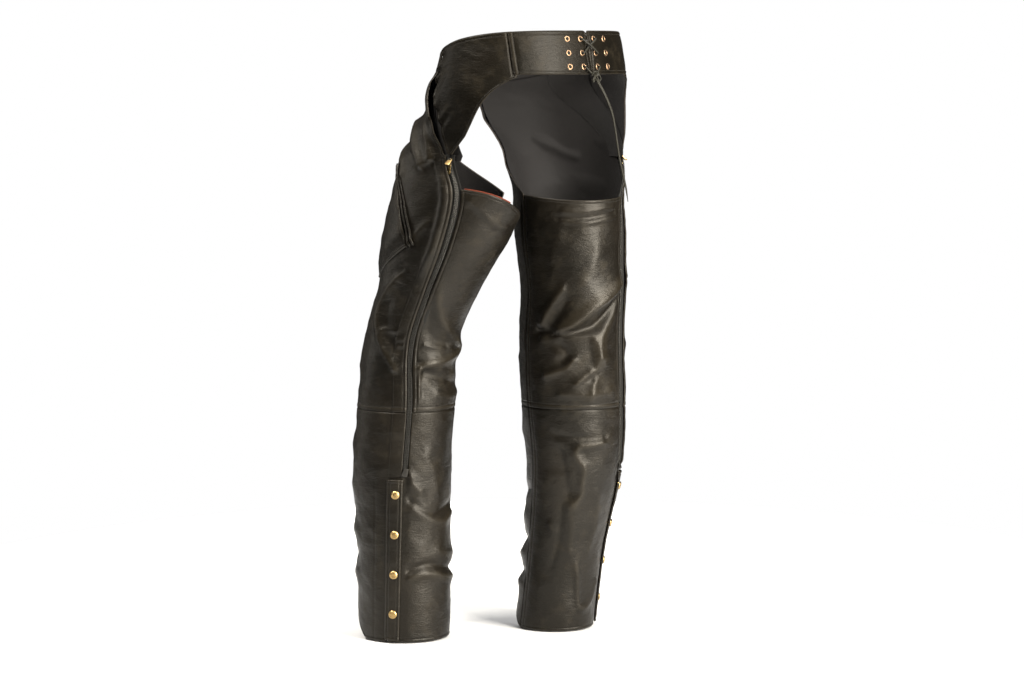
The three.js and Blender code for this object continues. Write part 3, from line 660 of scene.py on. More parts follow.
def slack(leg_name, height, angle):
    """The small unevenness of a soft hide that nothing pulls flat."""
    x, y, seed = angle * ROUND, height, SLACK_SEED[leg_name]
    broad = hills(x / 52, y / 38, seed) * 1.5 + hills(x / 24 + 9, y / 17, seed + 1) * 0.7
    return broad + hills(x / 13, (y + 0.5 * x) / 7.5, seed + 2) * 0.28


print("folds", {name: len(lines) for name, lines in FOLDS.items()})

# %% [markdown]
# A panel is cut flat, its edges are prepared, and then it takes the leg's shape. The builder
# below does the same: it lays a fine grid over the panel's two directions, finds how far each
# point is from the four edges, presses in the rows of stitching, rolls the turned edges, lets an
# edge dip where another panel laps over it, and adds the folds. Solidify gives it its thickness
# and a bevel softens the cut rim. Rows of the grid are closer together near the edges, where
# the stitching is.

# %% A panel of leather
HIDE = 1.8
STITCH_ROW = 6.2
SEAM_ROWS = (2.6, -3.8)
LAP = 6.0
SOFT_RIM = 0.45
FULL_FOLD, WORN_EDGE = 5, 2.2
PANEL_EDGES = ("left", "right", "low", "top")
ALL_CUT, ALL_TURNED = dict.fromkeys(PANEL_EDGES, "cut"), dict.fromkeys(PANEL_EDGES, "turned")
FINE_ROWS = (0, 0.7, 1.6, 2.8, 4.2, 5.4, 6.2, 7.0, 8.2, 9.8, 11.6)


def spaced(length, step, over_low=0.0, over_high=0.0):
    """Fractions of a length, closer together near its ends. It may run over either end."""
    near = [v for v in FINE_ROWS if v < length * 0.4]
    count = max(int((length - 2 * near[-1]) / step), 2)
    middle = np.linspace(near[-1], length - near[-1], count + 1)
    rows = np.concatenate([near[:-1], middle, [length - v for v in near[:-1]][::-1]])
    ahead = [v for v in (-over_low, -over_low * 0.75, -over_low * 0.4) if over_low]
    behind = [length + v for v in (over_high * 0.4, over_high * 0.75, over_high) if over_high]
    return np.concatenate([ahead, rows, behind]) / length


def arc(points, axis):
    steps = np.linalg.norm(np.diff(points, axis=axis), axis=-1) / MM
    return np.insert(np.cumsum(steps, axis=axis), 0, 0, axis=axis)


def press(distance, row, depth=0.75, width=1.1):
    return -depth * np.exp(-((distance - row) / width) ** 2)


class Panel:
    """place(across, up) gives height, angle and how far out; edges says how each side is made."""

    def __init__(self, name, leg_name, place, edges, folded=1.0, seed=0, step=3.0, calm=None,
                 shape=None, lift=0.0):
        self.name, self.leg_name, self.leg = name, leg_name, LEGS[leg_name]
        ends = np.linspace(0, 1, 25)
        rough = self.lay(place, *np.meshgrid(ends, ends))
        self.width = float(arc(rough, 1)[:, -1].max())
        self.length = float(arc(rough, 0)[-1].max())
        over = {side: LAP if edges[side] == "over" else 0.0 for side in PANEL_EDGES}
        across = spaced(self.width, step, over["left"], over["right"])
        up = spaced(self.length, step, over["low"], over["top"])
        across, up = np.meshgrid(across, up)
        flat = self.lay(place, across, up)
        inside_width, inside_length = arc(flat, 1), arc(flat, 0)
        first_column = int(np.argmin(np.abs(across[0])))
        last_column = int(np.argmin(np.abs(across[0] - 1)))
        first_row = int(np.argmin(np.abs(up[:, 0])))
        last_row = int(np.argmin(np.abs(up[:, 0] - 1)))
        self.away = {
            "left": inside_width - inside_width[:, first_column:first_column + 1],
            "right": inside_width[:, last_column:last_column + 1] - inside_width,
            "low": inside_length - inside_length[first_row:first_row + 1],
            "top": inside_length[last_row:last_row + 1] - inside_length,
        }
        height, angle, out = place(across, up)
        self.height, self.angle = np.broadcast_arrays(height, angle)
        rise = np.zeros(self.height.shape)
        still = np.ones(self.height.shape)
        for side, kind in edges.items():
            away = self.away[side]
            if kind == "turned":
                rise -= 1.3 * np.clip(1 - away / 2.6, 0, 1) ** 2
                rise += 0.35 * np.exp(-((away - 3.4) / 1.6) ** 2) + press(away, STITCH_ROW)
                still = still * (0.45 + 0.55 * smooth(away / 22))
            elif kind == "over":
                rise += 0.5 * np.exp(-((away + LAP - 2) / 3) ** 2)
                rise += press(away, 2.2 - LAP) + press(away, SEAM_ROWS[0])
                rise -= 1.0 * np.clip(1 - (away + LAP) / 2.0, 0, 1) ** 2
                still = still * (0.3 + 0.7 * smooth(away / 26))
            elif kind == "under":
                rise -= (HIDE + 0.35) * (1 - smooth((away - LAP + 0.5) / 3.5))
                still = still * (0.15 + 0.85 * smooth((away - 6) / 26))
            elif kind == "cut":
                rise -= 0.5 * np.clip(1 - away / 1.6, 0, 1) ** 2
        if calm is not None:
            still = still * calm(self)
        fold = fold_rise(leg_name, self.height, self.angle) * folded
        soft = slack(leg_name, self.height, self.angle) * folded
        self.fold = fold * still
        rise = rise + (fold + soft) * still + self.pucker(edges, seed)
        if shape is not None:
            rise = rise + shape(self)
        self.out = out + rise + lift
        self.points = skin(self.leg, self.height, self.angle, self.out)
        self.outwards = skin(self.leg, self.height, self.angle, self.out + 1) - self.points
        self.outwards /= np.linalg.norm(self.outwards, axis=-1)[..., None]

    def lay(self, place, across, up):
        return skin(self.leg, *place(across, up))

    def pucker(self, edges, seed):
        """Stitches gather the leather a little: short ripples square to a sewn edge."""
        total = 0.0
        for side, kind in edges.items():
            if kind in ("turned", "over"):
                along = self.height if side in ("left", "right") else self.angle * ROUND
                near = np.exp(-((self.away[side] - 9) / 9) ** 2)
                total = total + near * (hills(along / 8.5, self.away[side] / 30, 70 + seed) * 0.34
                                        + hills(along / 21, self.away[side] / 50, 90 + seed) * 0.42)
        return total

    def line(self, side, distance, start=0.0, end=1.0):
        """The points of a row of stitching, a distance inside one edge."""
        away = self.away[side]
        where, normals = self.points, self.outwards
        if side in ("low", "top"):
            away, where, normals = away.T, where.transpose(1, 0, 2), normals.transpose(1, 0, 2)
        turned = -1 if side in ("right", "top") else 1
        path, outwards = [], []
        for k in range(len(away)):
            row = away[k, ::turned]
            path.append([np.interp(distance, row, where[k, ::turned, n]) for n in range(3)])
            outwards.append([np.interp(distance, row, normals[k, ::turned, n]) for n in range(3)])
        run = arc(np.array(path)[None], 1)[0]
        keep = (run >= start * run[-1]) & (run <= end * run[-1])
        return np.array(path)[keep], np.array(outwards)[keep]

    def make(self, outer, inner, rim=EDGE, thickness=HIDE):
        rows, columns = self.height.shape
        index = np.arange(rows * columns).reshape(rows, columns)
        corners = [index[:-1, :-1], index[:-1, 1:], index[1:, 1:], index[1:, :-1]]
        faces = np.stack([c.ravel() for c in corners], -1)
        a, b, c = (self.points.reshape(-1, 3)[faces[len(faces) // 2, n]] for n in (0, 1, 3))
        if np.cross(b - a, c - a).dot(self.outwards.reshape(-1, 3)[faces[len(faces) // 2, 0]]) < 0:
            faces = faces[:, ::-1]
        obj = mesh_object(self.name, self.points.reshape(-1, 3), faces, [outer, inner, rim])
        mesh = obj.data
        cut = mesh.uv_layers.new(name="cut")
        flat = np.stack([self.away["left"], self.away["low"]], -1).reshape(-1, 2) * MM
        loops = np.empty(len(mesh.loops), int)
        mesh.loops.foreach_get("vertex_index", loops)
        cut.data.foreach_set("uv", flat[loops].ravel())
        edge = np.minimum.reduce([np.abs(self.away[s]) for s in PANEL_EDGES])
        # the fold attribute drives the painted highlight, partly rubbed wear, on the crests of
        # folds
        for label, values in (("fold", np.clip(self.fold / FULL_FOLD, 0, 1)),
                              ("edge", np.clip(1 - edge / WORN_EDGE, 0, 1))):
            layer = mesh.attributes.new(label, "FLOAT", "POINT")
            layer.data.foreach_set("value", values.ravel().astype(float))
        wall = obj.modifiers.new("wall", "SOLIDIFY")
        wall.thickness, wall.offset = thickness * MM, -1
        wall.material_offset, wall.material_offset_rim = 1, 2
        soft = obj.modifiers.new("soft_rim", "BEVEL")
        soft.width, soft.segments = SOFT_RIM * MM, 2
        soft.limit_method, soft.angle_limit = "ANGLE", math.radians(62)
        soft.use_clamp_overlap = True
        bpy.ops.object.select_all(action="DESELECT")
        bpy.context.view_layer.objects.active = obj
        for modifier in list(obj.modifiers):
            bpy.ops.object.modifier_apply(modifier=modifier.name)
        mesh.shade_smooth()
        start = self.points[:-1, :-1]
        cells = np.cross(self.points[1:, :-1] - start, self.points[:-1, 1:] - start)
        self.area = float(np.linalg.norm(cells, axis=-1).sum())
        self.piece = obj

    def declare(self, body, node=None, slot="leather", held="hung"):
        """Hangs the panel on a body and hides the imported part that it stands for."""
        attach(self.piece, body)
        if node:
            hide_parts(node)


print("a panel's rows near an edge, in mm", FINE_ROWS)

# %% [markdown]
# Every row of stitching is a run of real stitches, each a small grain of thread that dips at its
# ends, with fourteen faces. The rows of a panel are one object.

# %% Stitches
STITCH_PITCH = 3.7
STITCH_LENGTH = 2.7
STITCH_RADIUS = 0.42


def stitch_rows(name, rows, body):
    """rows: pairs of a path and its outward directions."""
    grain = [(-0.5, 0.35, -0.45), (-0.22, 1.0, 0.1), (0.22, 1.0, 0.1), (0.5, 0.35, -0.45)]
    vertices, faces = [], []
    for path, outwards in rows:
        run = arc(path[None], 1)[0]
        for start in np.arange(STITCH_PITCH / 2, run[-1] - STITCH_PITCH / 2, STITCH_PITCH):
            here = np.array([np.interp(start, run, path[:, n]) for n in range(3)])
            ahead = np.array([np.interp(start + 1, run, path[:, n]) for n in range(3)]) - here
            out = np.array([np.interp(start, run, outwards[:, n]) for n in range(3)])
            ahead = ahead / np.linalg.norm(ahead)
            out = out - ahead * out.dot(ahead)
            out = out / np.linalg.norm(out)
            beside = np.cross(ahead, out)
            first = len(vertices)
            for along, thick, rise in grain:
                centre = here + ahead * along * STITCH_LENGTH * MM + out * rise * STITCH_RADIUS * MM
                for turn in (45, 135, 225, 315):
                    swing = math.radians(turn)
                    vertices.append(centre + (beside * math.cos(swing) + out * math.sin(swing))
                                    * STITCH_RADIUS * thick * MM)
            for ring in range(3):
                for n in range(4):
                    a, b = first + ring * 4 + n, first + ring * 4 + (n + 1) % 4
                    faces.append((a, a + 4, b + 4, b))
            faces += [tuple(first + n for n in range(4)), tuple(first + 15 - n for n in range(4))]
    obj = mesh_object(name, vertices, faces, [THREAD])
    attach(obj, body)
    print(name, len(vertices) // 16, "stitches")

# %% [markdown]
# The belt is four pieces. Two tall tabs behind are laced together, and each is sewn to a hip
# yoke, whose lower edge scoops round the seat. Two straps in front are joined by the buckle. The
# corners of the laced tabs are rounded.

# %% Outlines round the waist
BACK_BELT_HEIGHT, FRONT_BELT_HEIGHT, FRONT_DROP = 75, 32, 60
ZIP_TOP, ZIP_END, KNEE, BACK_TOP = 861, 293, 415, 790
LACE_CENTRE = 88
SCOOP_TOP, MOUTH_TOP = TOP_TO_HEM - BACK_BELT_HEIGHT - 4, 990
BELT_LOW = SCOOP_TOP + 4


def lacing_centre(leg):
    return LACE_CENTRE if leg["side"] > 0 else 180 - LACE_CENTRE


def belt_top(angle):
    return TOP_TO_HEM - FRONT_DROP * ((1 - np.sin(np.radians(angle))) / 2) ** 2


def hip_turn(leg, height):
    return leg["turn"] * (1 - smooth((height - ZIP_TOP) / (1000 - ZIP_TOP)))


def yoke_back(leg, height):
    t = np.maximum(height - ZIP_TOP, 0) / (SCOOP_TOP - ZIP_TOP)
    scoop = 14 + 4 * np.minimum(4 * t, 1) + 24 * t ** 5 + hip_turn(leg, height)
    return np.where(height > SCOOP_TOP, 42 - 3.6 * (height - SCOOP_TOP) / BACK_BELT_HEIGHT, scoop)


def yoke_front(leg, height):
    t = np.clip((height - ZIP_TOP) / (MOUTH_TOP - ZIP_TOP), 0, 1)
    return -23 + 34 * (1 - t) ** 1.6 + hip_turn(leg, height)


def back_belt_place(leg):
    corner, opening = 5, 0.2
    centre = lacing_centre(leg)

    def place(across, up):
        seam = yoke_back(leg, lerp(BELT_LOW, TOP_TO_HEM, up)) + 0.1
        angle = lerp(seam, centre - opening, across)
        from_end = (1 - across) * (centre - opening - seam) * 2.6
        cut = corner - np.sqrt(corner ** 2 - np.clip(corner - from_end, 0, corner) ** 2)
        return lerp(BELT_LOW + cut, belt_top(angle) - cut, up), angle, 0.0
    return place


def yoke_place(leg):
    nominal_top = 1050

    def place(across, up):
        front, back = yoke_front(leg, nominal_top), yoke_back(leg, nominal_top)
        height = lerp(ZIP_TOP + 3, nominal_top, up)
        top = belt_top(lerp(front, back, across))
        height = height + np.maximum(up, 0) ** 4 * (top - nominal_top)
        return height, lerp(yoke_front(leg, height), yoke_back(leg, height), across), 0.0
    return place


print("belt from", BELT_LOW, "to", TOP_TO_HEM, "mm behind, its top in front at",
      round(float(belt_top(-90))))


# %% Belt and yokes
def belt_calm(panel):
    return 0.25 + 0.55 * smooth((lacing_centre(panel.leg) - 19 - panel.angle) / 8)


def belt_swell(panel):
    """A lined belt is a little full between its rows of stitching."""
    t = (panel.height - BELT_LOW) / BACK_BELT_HEIGHT
    full = 1.3 * np.sin(math.pi * np.clip(t, 0, 1)) ** 0.8
    return full * smooth(panel.away["right"] / 12) * smooth(panel.away["left"] / 12)


def yoke_crumple(panel):
    """The front edge of the yoke is rumpled where the pocket's mouth pulls on it."""
    near = np.exp(-(panel.away["left"] / 26) ** 2) * smooth((panel.height - 880) / 60)
    waves = hills(panel.height / 13, panel.away["left"] / 24, 31) * 4.2
    slanted = (panel.height - 0.7 * panel.away["left"]) / 9
    ridges = hills(slanted, panel.away["left"] / 30 + 5, 37) * 2.8
    below_seam = press(panel.away["top"], 30, -1.2, 10)
    return (waves + ridges) * near * smooth(panel.away["top"] / 14) + below_seam * near


def yoke_shape(panel):
    """The yoke dips under the back belt that laps over it."""
    beside_belt = 1 - smooth((panel.away["right"] - 6) / 4)
    return yoke_crumple(panel) - 2.2 * smooth((panel.height - 990) / 8) * beside_belt


for side in SIDES:
    leg = LEGS[side]
    belt = Panel(f"back_belt_tab_{side}", side, back_belt_place(leg),
                 {"left": "over", "right": "turned", "low": "turned", "top": "turned"}, 0.5, 3,
                 calm=belt_calm, shape=belt_swell)
    belt.make(BELT_LEATHER, LINING)
    belt.declare("chaps", f"back_belt_{side}", held="stretched")
    rows = [belt.line("left", row, 0.02, 0.98) for row in SEAM_ROWS]
    rows += [belt.line(edge, STITCH_ROW, 0.04, 0.96) for edge in ("right", "low", "top")]
    stitch_rows(f"belt_thread_{side}", rows, "chaps")
    yoke = Panel(f"hip_yoke_hide_{side}", side, yoke_place(leg),
                 {"left": "turned", "right": "turned", "top": "turned", "low": "cut"}, 0.9, 5,
                 shape=yoke_shape)
    yoke.make(BELT_LEATHER, LINING)
    yoke.declare("chaps", f"hip_yoke_{side}")
    stitch_rows(f"yoke_thread_{side}", [yoke.line("left", STITCH_ROW, 0.03, 0.96),
                                        yoke.line("right", STITCH_ROW, 0.03, 0.62),
                                        yoke.line("top", STITCH_ROW, 0.05, 0.9)], "chaps")

# %% [markdown]
# The straps in front are narrow. The wearer's right strap runs under the buckle's far bar, over
# the heel bar and on over the left strap, to a rounded point, and has a row of prong holes.

# %% Front straps
HEEL_BAR_X, FAR_BAR_X, BUCKLE_WIRE, STRAP_TIP_X = 24, -20, 1.75, 78
FRONT_BELT_START = -23.2
BELT_HALF_WIDTH = HIPS[2][1]
SLOT_HOLES, PRONG_HOLES = (-12, -4.5, 3), (42, 50, 58, 66)


def belt_angle(x):
    return -90 + np.degrees(np.arcsin(x / BELT_HALF_WIDTH))


def strap_height(angle, up):
    return belt_top(angle) - FRONT_BELT_HEIGHT * (1 - up)


def strap_lift(x):
    return smooth((x + 14) / 34) * lerp(5.2, 3, smooth((x - 28) / 14))


def front_left_place(across, up):
    angle = lerp(FRONT_BELT_START, belt_angle(HEEL_BAR_X + BUCKLE_WIRE + 2.5), across)
    return strap_height(angle, up), angle, 0.0


def front_right_place(across, up):
    angle = lerp(FRONT_BELT_START, -180 - belt_angle(STRAP_TIP_X), across)
    x = -BELT_HALF_WIDTH * np.cos(np.radians(angle))
    from_tip = np.clip((1 - across) * 300 / 15, 0, 1)
    pointed = 0.5 + (up - 0.5) * np.sqrt(np.clip(1 - (1 - from_tip) ** 2.4, 0.012, 1))
    return strap_height(angle, pointed), angle, strap_lift(x) + 0.25 * (x > 20)


for side, place in (("left", front_left_place), ("right", front_right_place)):
    strap = Panel(f"front_strap_{side}", side, place, ALL_TURNED, 0.15, 7, step=3.5)
    strap.make(BELT_LEATHER, LINING)
    if side == "left":
        strap.declare("chaps", "front_belt_left", held="stretched")
    rows = [strap.line(edge, STITCH_ROW, 0.02, 0.93) for edge in ("low", "top")]
    stitch_rows(f"strap_thread_{side}", rows, "chaps")

# The slot for the prong, and four prong holes, are cut in the right strap with cylinders.
buckle_space = frame_on(LEGS["left"], float(strap_height(-90, 0.5)), -90, 0)
strap_mesh = strap.piece
for x in SLOT_HOLES + PRONG_HOLES:
    angle = -180 - belt_angle(x)
    cut_frame = frame_on(LEGS["right"], float(strap_height(angle, 0.5)), angle, 3)
    bpy.ops.object.select_all(action="DESELECT")
    bpy.ops.mesh.primitive_cylinder_add(vertices=20, depth=0.02,
                                        radius=(2.9 if x in SLOT_HOLES else 2.0) * MM)
    drill = bpy.context.object
    if x in SLOT_HOLES:
        drill.data.transform(Matrix.Diagonal((1.7, 1.0, 1.0, 1.0)))
    drill.data.transform(cut_frame @ FACE_OUT)
    hole = strap_mesh.modifiers.new("hole", "BOOLEAN")
    hole.operation, hole.object, hole.solver = "DIFFERENCE", drill, "EXACT"
    bpy.ops.object.select_all(action="DESELECT")
    bpy.context.view_layer.objects.active = strap_mesh
    bpy.ops.object.modifier_apply(modifier="hole")
    bpy.data.objects.remove(drill)
strap_mesh.data.shade_smooth()
strap.declare("chaps", "front_belt_right", held="stretched")
print("right strap has", len(strap_mesh.data.polygons), "faces")

# %% [markdown]
# Each leg is four panels: front and back, above and below the knee. The back panels lap over the
# front ones at the inseam, the upper ones over the lower ones at the knee, and the zip runs
# between them on the outside. Beside the zip the front panels carry a placket, a strip of
# leather laid flat on the panel. Its front edge shows as a second row of stitching.

# %% Leg panels
INSEAM, INSTEP_RISE, ZIP_HALF_GAP = 173, 65, 3.5
FLAP_TURN, UNDERLAP_TURN = 19, 17
PLACKET = 25


def inner_front(leg, height):
    t = np.clip((height - BACK_TOP) / (1015 - BACK_TOP), 0, 1)
    return lerp(INSEAM - 360 + leg["turn"], -79, 1 - (1 - t) ** 2.2)


def front_upper_place(leg):
    def angle_at(height, across):
        outer = np.where(height < ZIP_TOP, zip_angle(leg, height) - ZIP_HALF_GAP,
                         yoke_front(leg, height) - 3)
        return lerp(outer, inner_front(leg, height), across)

    def place(across, up):
        nominal_top = 984
        top = belt_top(angle_at(nominal_top, across)) - FRONT_BELT_HEIGHT + LAP - 0.5
        height = lerp(KNEE, nominal_top, up) + np.maximum(up, 0) ** 4 * (top - nominal_top)
        return height, angle_at(height, across), 0.0
    return place


def stepped(height, shift, across):
    return shift * smooth((ZIP_END + 3 - height) / 6) * np.maximum(1 - across / 0.3, 0)


def lower_height(hem, up):
    step = np.where(up <= 0.7, lerp(ZIP_END - 3, ZIP_END + 3, (up - 0.6) * 10),
                    lerp(ZIP_END + 3, KNEE, (up - 0.7) / 0.3))
    return np.where(up <= 0.6, lerp(hem, ZIP_END - 3, up / 0.6), step)


def hem_height(leg, angle):
    return INSTEP_RISE * np.maximum(np.cos(np.radians(angle + 90 - leg["turn"])), 0) ** 1.5


def front_lower_place(leg):
    def place(across, up):
        inner = INSEAM - 360 + leg["turn"]
        flat = lerp(zip_angle(leg, KNEE) - ZIP_HALF_GAP, inner, across)
        height = lower_height(hem_height(leg, flat), up)
        outer = zip_angle(leg, height) - ZIP_HALF_GAP
        angle = lerp(outer, inner, across) + stepped(height, ZIP_HALF_GAP - FLAP_TURN, across)
        return height, angle, 0.0
    return place


def back_upper_place(leg):
    rise = (804, 738) if leg["side"] > 0 else (784, 788)

    def place(across, up):
        top = lerp(rise[0], rise[1], smooth(across)) - 6 * np.sin(math.pi * np.clip(across, 0, 1))
        height = lerp(KNEE, top, up)
        angle = lerp(zip_angle(leg, height) + ZIP_HALF_GAP, INSEAM + leg["turn"], across)
        return height, angle, 0.0
    return place


def back_lower_place(leg):
    def place(across, up):
        height = lower_height(0, up)
        column = np.sign(across) * np.abs(across) ** 1.5
        angle = lerp(zip_angle(leg, height) + ZIP_HALF_GAP, INSEAM + leg["turn"], column)
        return height, angle + stepped(height, -UNDERLAP_TURN - ZIP_HALF_GAP, column), 0.0
    return place


def free_of_flap(panel):
    """Under and beside the snap flap the leather lies flat."""
    beside = smooth((zip_angle(panel.leg, panel.height) - 24 - panel.angle) / 12)
    below = smooth((ZIP_END + 20 - panel.height) / 20)
    return np.where(panel.height > ZIP_END + 20, 1, lerp(1, beside, below))


def back_free_of_flap(panel):
    beside = smooth((panel.angle - zip_angle(panel.leg, panel.height) - 1) / 7)
    return lerp(1, beside, smooth((ZIP_END + 14 - panel.height) / 14))


def placket(panel):
    away = panel.away["left"]
    raised = 0.9 * (1 - smooth((away - PLACKET) / 1.4))
    return raised * smooth((panel.height - 330) / 20) + press(away, PLACKET + 1.5, 0.8, 1.3)


def zip_edge_stand(leg, height, away):
    """The left thigh's sewn edge rolls over the zip; the right one stands off all down the leg."""
    if leg["side"] > 0:
        bulge = smooth((height - 640) / 50) * (1 - smooth((height - 800) / 50))
        return 7.5 * bulge * np.exp(-((away - 15) / 9.5) ** 2)
    bulge = smooth((height - ZIP_END - 3) / 14) * (1 - smooth((height - 720) / 90))
    return 5.5 * bulge * np.exp(-(np.maximum(away, 0) / 20) ** 2)


def flared_zip_edge(panel):
    mouth = smooth((panel.height - 872) / 30) * (1 - smooth((panel.height - 985) / 20))
    puff = 9.0 * mouth * np.exp(-(panel.away["left"] / 20) ** 2)
    return zip_edge_stand(panel.leg, panel.height, panel.away["left"]) + puff


def thigh_front_shape(panel):
    """The placket ends at the zip's top, and the inseam dips under the back panel's lap."""
    strip = placket(panel) * (1 - smooth((panel.height - 850) / 12))
    lapped = (1 - smooth((panel.away["right"] - 6) / 4)) * (1 - smooth((panel.height - 765) / 15))
    return strip + flared_zip_edge(panel) - (HIDE + 0.3) * lapped


def shin_front_shape(panel):
    return placket(panel) + zip_edge_stand(panel.leg, panel.height, panel.away["left"])


def seam_lines(panel, edge):
    """The two rows that hold a lapped seam."""
    return [panel.line(edge, row, 0.01, 0.98) for row in SEAM_ROWS]


for side in SIDES:
    leg = LEGS[side]
    front_upper = Panel(
        f"thigh_front_{side}", side, front_upper_place(leg),
        {"left": "turned", "right": "cut", "low": "over", "top": "under"}, 1.0, 11,
        shape=thigh_front_shape)
    front_lower = Panel(
        f"shin_front_{side}", side, front_lower_place(leg),
        {"left": "cut", "right": "under", "low": "turned", "top": "under"}, 1.0, 13,
        calm=free_of_flap, shape=shin_front_shape)
    back_upper = Panel(
        f"thigh_back_{side}", side, back_upper_place(leg),
        {"left": "turned", "right": "over", "low": "over", "top": "turned"}, 1.0, 17)
    back_lower = Panel(
        f"calf_back_{side}", side, back_lower_place(leg),
        {"left": "cut", "right": "over", "low": "turned", "top": "under"}, 1.0, 19,
        calm=back_free_of_flap)
    leg_panels = {"front_upper": front_upper, "front_lower": front_lower,
                  "back_upper": back_upper, "back_lower": back_lower}
    for node, panel in leg_panels.items():
        panel.make(LEATHER, LINING if "upper" in node else FLESH)
        panel.declare("chaps", f"{node}_{side}")
    flap_share = ZIP_END / KNEE
    stitch_rows(f"thigh_front_thread_{side}", [
        front_upper.line("left", STITCH_ROW, 0.01, 0.97),
        front_upper.line("left", PLACKET - 1.5, 0.01, 0.78),
        *seam_lines(front_upper, "low")], "chaps")
    stitch_rows(f"thigh_back_thread_{side}", [
        back_upper.line("left", STITCH_ROW, 0.01, 0.98),
        back_upper.line("top", STITCH_ROW, 0.03, 0.97),
        *seam_lines(back_upper, "right"), *seam_lines(back_upper, "low")], "chaps")
    stitch_rows(f"calf_thread_{side}", [
        front_lower.line("left", PLACKET - 1.5, flap_share, 1.0),
        front_lower.line("low", STITCH_ROW, 0.02, 0.98),
        back_lower.line("low", STITCH_ROW, 0.2, 0.98),
        *seam_lines(back_lower, "right")], "chaps")

# %% [markdown]
# A snap flap closes the calf below each zip. It is a strip of leather in its own right, sewn down
# along its front edge and free along its back edge, so it turns on its own hinge.

# %% Snap flaps
FLAP_OFF = 4.8


def flap_place(leg):
    def place(across, up):
        height = lerp(4, ZIP_END - 3, up)
        angle = zip_angle(leg, height) - 2 - FLAP_TURN * (1 - across)
        return height, angle, lerp(2.5, FLAP_OFF, smooth(across / 0.35))
    return place


def flap_wave(panel):
    free = smooth((panel.away["left"] - 22) / 12)
    return hills(panel.height / 34, panel.angle / 40, 61) * 0.8 * free


for side in SIDES:
    flap = Panel(f"snap_flap_hide_{side}", side, flap_place(LEGS[side]), ALL_TURNED, 0.12, 23,
                 step=2.6, shape=flap_wave)
    flap.make(LEATHER, FLESH)
    flap.declare(f"snap_flap_{side}", f"snap_flap_{side}")
    rows = [flap.line(edge, STITCH_ROW, 0.04, 0.96) for edge in ("right", "low", "top")]
    rows += [flap.line("left", 3.0, 0.01, 0.99), flap.line("left", 8.5, 0.02, 0.98)]
    stitch_rows(f"flap_thread_{side}", rows, f"snap_flap_{side}")

# %% [markdown]
# The left thigh has a slanted pocket. Its pouch is a patch sewn on from its mouth down, a little
# full in the middle, and its mouth is finished by three rolled welts side by side.

# %% Thigh pocket
POCKET_MOUTH = np.array([(-48, 838), (0, 704)], float)
POCKET_FOOT = np.array([(-100, 770), (-46, 640)], float)
WELT_RADIUS = 2.3


def pocket_place(across, down):
    belly = np.sin(math.pi * np.clip(across, 0, 1))
    mouth = [lerp(POCKET_MOUTH[0][k], POCKET_MOUTH[1][k], across) for k in (0, 1)]
    foot = [lerp(POCKET_FOOT[0][k], POCKET_FOOT[1][k], across) for k in (0, 1)]
    angle = lerp(mouth[0], foot[0] - 6 * belly, down)
    height = lerp(mouth[1], foot[1] - 26 * belly, down)
    return height, angle, 0.0


def pocket_fullness(panel):
    inside = np.minimum.reduce([panel.away[s] for s in ("left", "right", "top")])
    dents = 1.2 * hills(panel.angle / 14, panel.height / 22, 83) * smooth(inside / 20)
    return HIDE + 0.9 + 4.2 * smooth(inside / 30) + dents


pocket = Panel("thigh_pocket_pouch", "left", pocket_place, ALL_TURNED, 1.0, 29,
               shape=pocket_fullness)
pocket.make(LEATHER, LINING)
pocket.declare("chaps", "thigh_pocket")
stitch_rows("pocket_thread", [pocket.line("left", STITCH_ROW, 0.02, 0.98),
                              pocket.line("right", STITCH_ROW, 0.02, 0.98),
                              pocket.line("top", STITCH_ROW, 0.03, 0.97)], "chaps")
for k, (aside, out) in enumerate(((-1.8, 3.6), (3.4, 3.2), (8.0, 2.2))):
    t = np.linspace(-0.03, 1.03, 90)
    angle = lerp(POCKET_MOUTH[0][0], POCKET_MOUTH[1][0], t) + aside / ROUND * 0.94
    height = lerp(POCKET_MOUTH[0][1], POCKET_MOUTH[1][1], t) + aside * 0.5
    swell = fold_rise("left", height, angle) + 0.5 * hills(t * 9, t * 0 + k, 5)
    path = skin(LEGS["left"], height, angle, out + swell)
    ends = smooth((0.5 - np.abs(t - 0.5) + 0.03) / 0.03)
    thick = WELT_RADIUS * MM * (0.35 + 0.65 * ends)
    welt = tube(f"pocket_welt_{k + 1}", path, thick, 10, LEATHER, flat=0.8)
    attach(welt, "chaps")
print("pocket and its three welts")

# %% [markdown]
# Behind the slanted mouth of each hip pocket hangs a dark bag. It is a single curved sheet a few
# millimetres inside the leather, wide enough to be all that shows through the opening.

# %% Hip pocket bags
def pocket_bag_place(leg):
    def place(across, up):
        height = lerp(852, 1016, up)
        angle = yoke_front(leg, height) + lerp(-17, 12, across)
        return height, angle, -4.4 - 2.2 * np.sin(math.pi * np.clip(across, 0, 1))
    return place


for side in SIDES:
    bag = Panel(f"hip_pocket_bag_{side}", side, pocket_bag_place(LEGS[side]), ALL_CUT, 0.0, 31,
                step=7)
    bag.make(LINING, LINING, LINING, thickness=0.6)
    bag.declare("chaps")

# %% [markdown]
# The linings are cut a little smaller than the panels and hang just inside them, straight behind
# the ridges and pushed in by the valleys. Along the back of the thigh their top edge is bound
# with a rust-coloured tape that shows as a thin line.

# %% Linings
LINED = {"front_upper": front_upper_place, "back_upper": back_upper_place}
LINING_START, LINING_STOP, LINING_OUT = (0.03, 0.02), (0.98, 0.985), -3.8


def inset(place):
    def smaller(across, up):
        height, angle, _ = place(lerp(LINING_START[0], LINING_STOP[0], across),
                                 lerp(LINING_START[1], LINING_STOP[1], up))
        return height, angle, LINING_OUT
    return smaller


def valleys_only(panel):
    """The cloth hangs straight under a ridge of the leather and gives way under a valley."""
    return np.minimum(fold_rise(panel.leg_name, panel.height, panel.angle)
                      + slack(panel.leg_name, panel.height, panel.angle), 0)


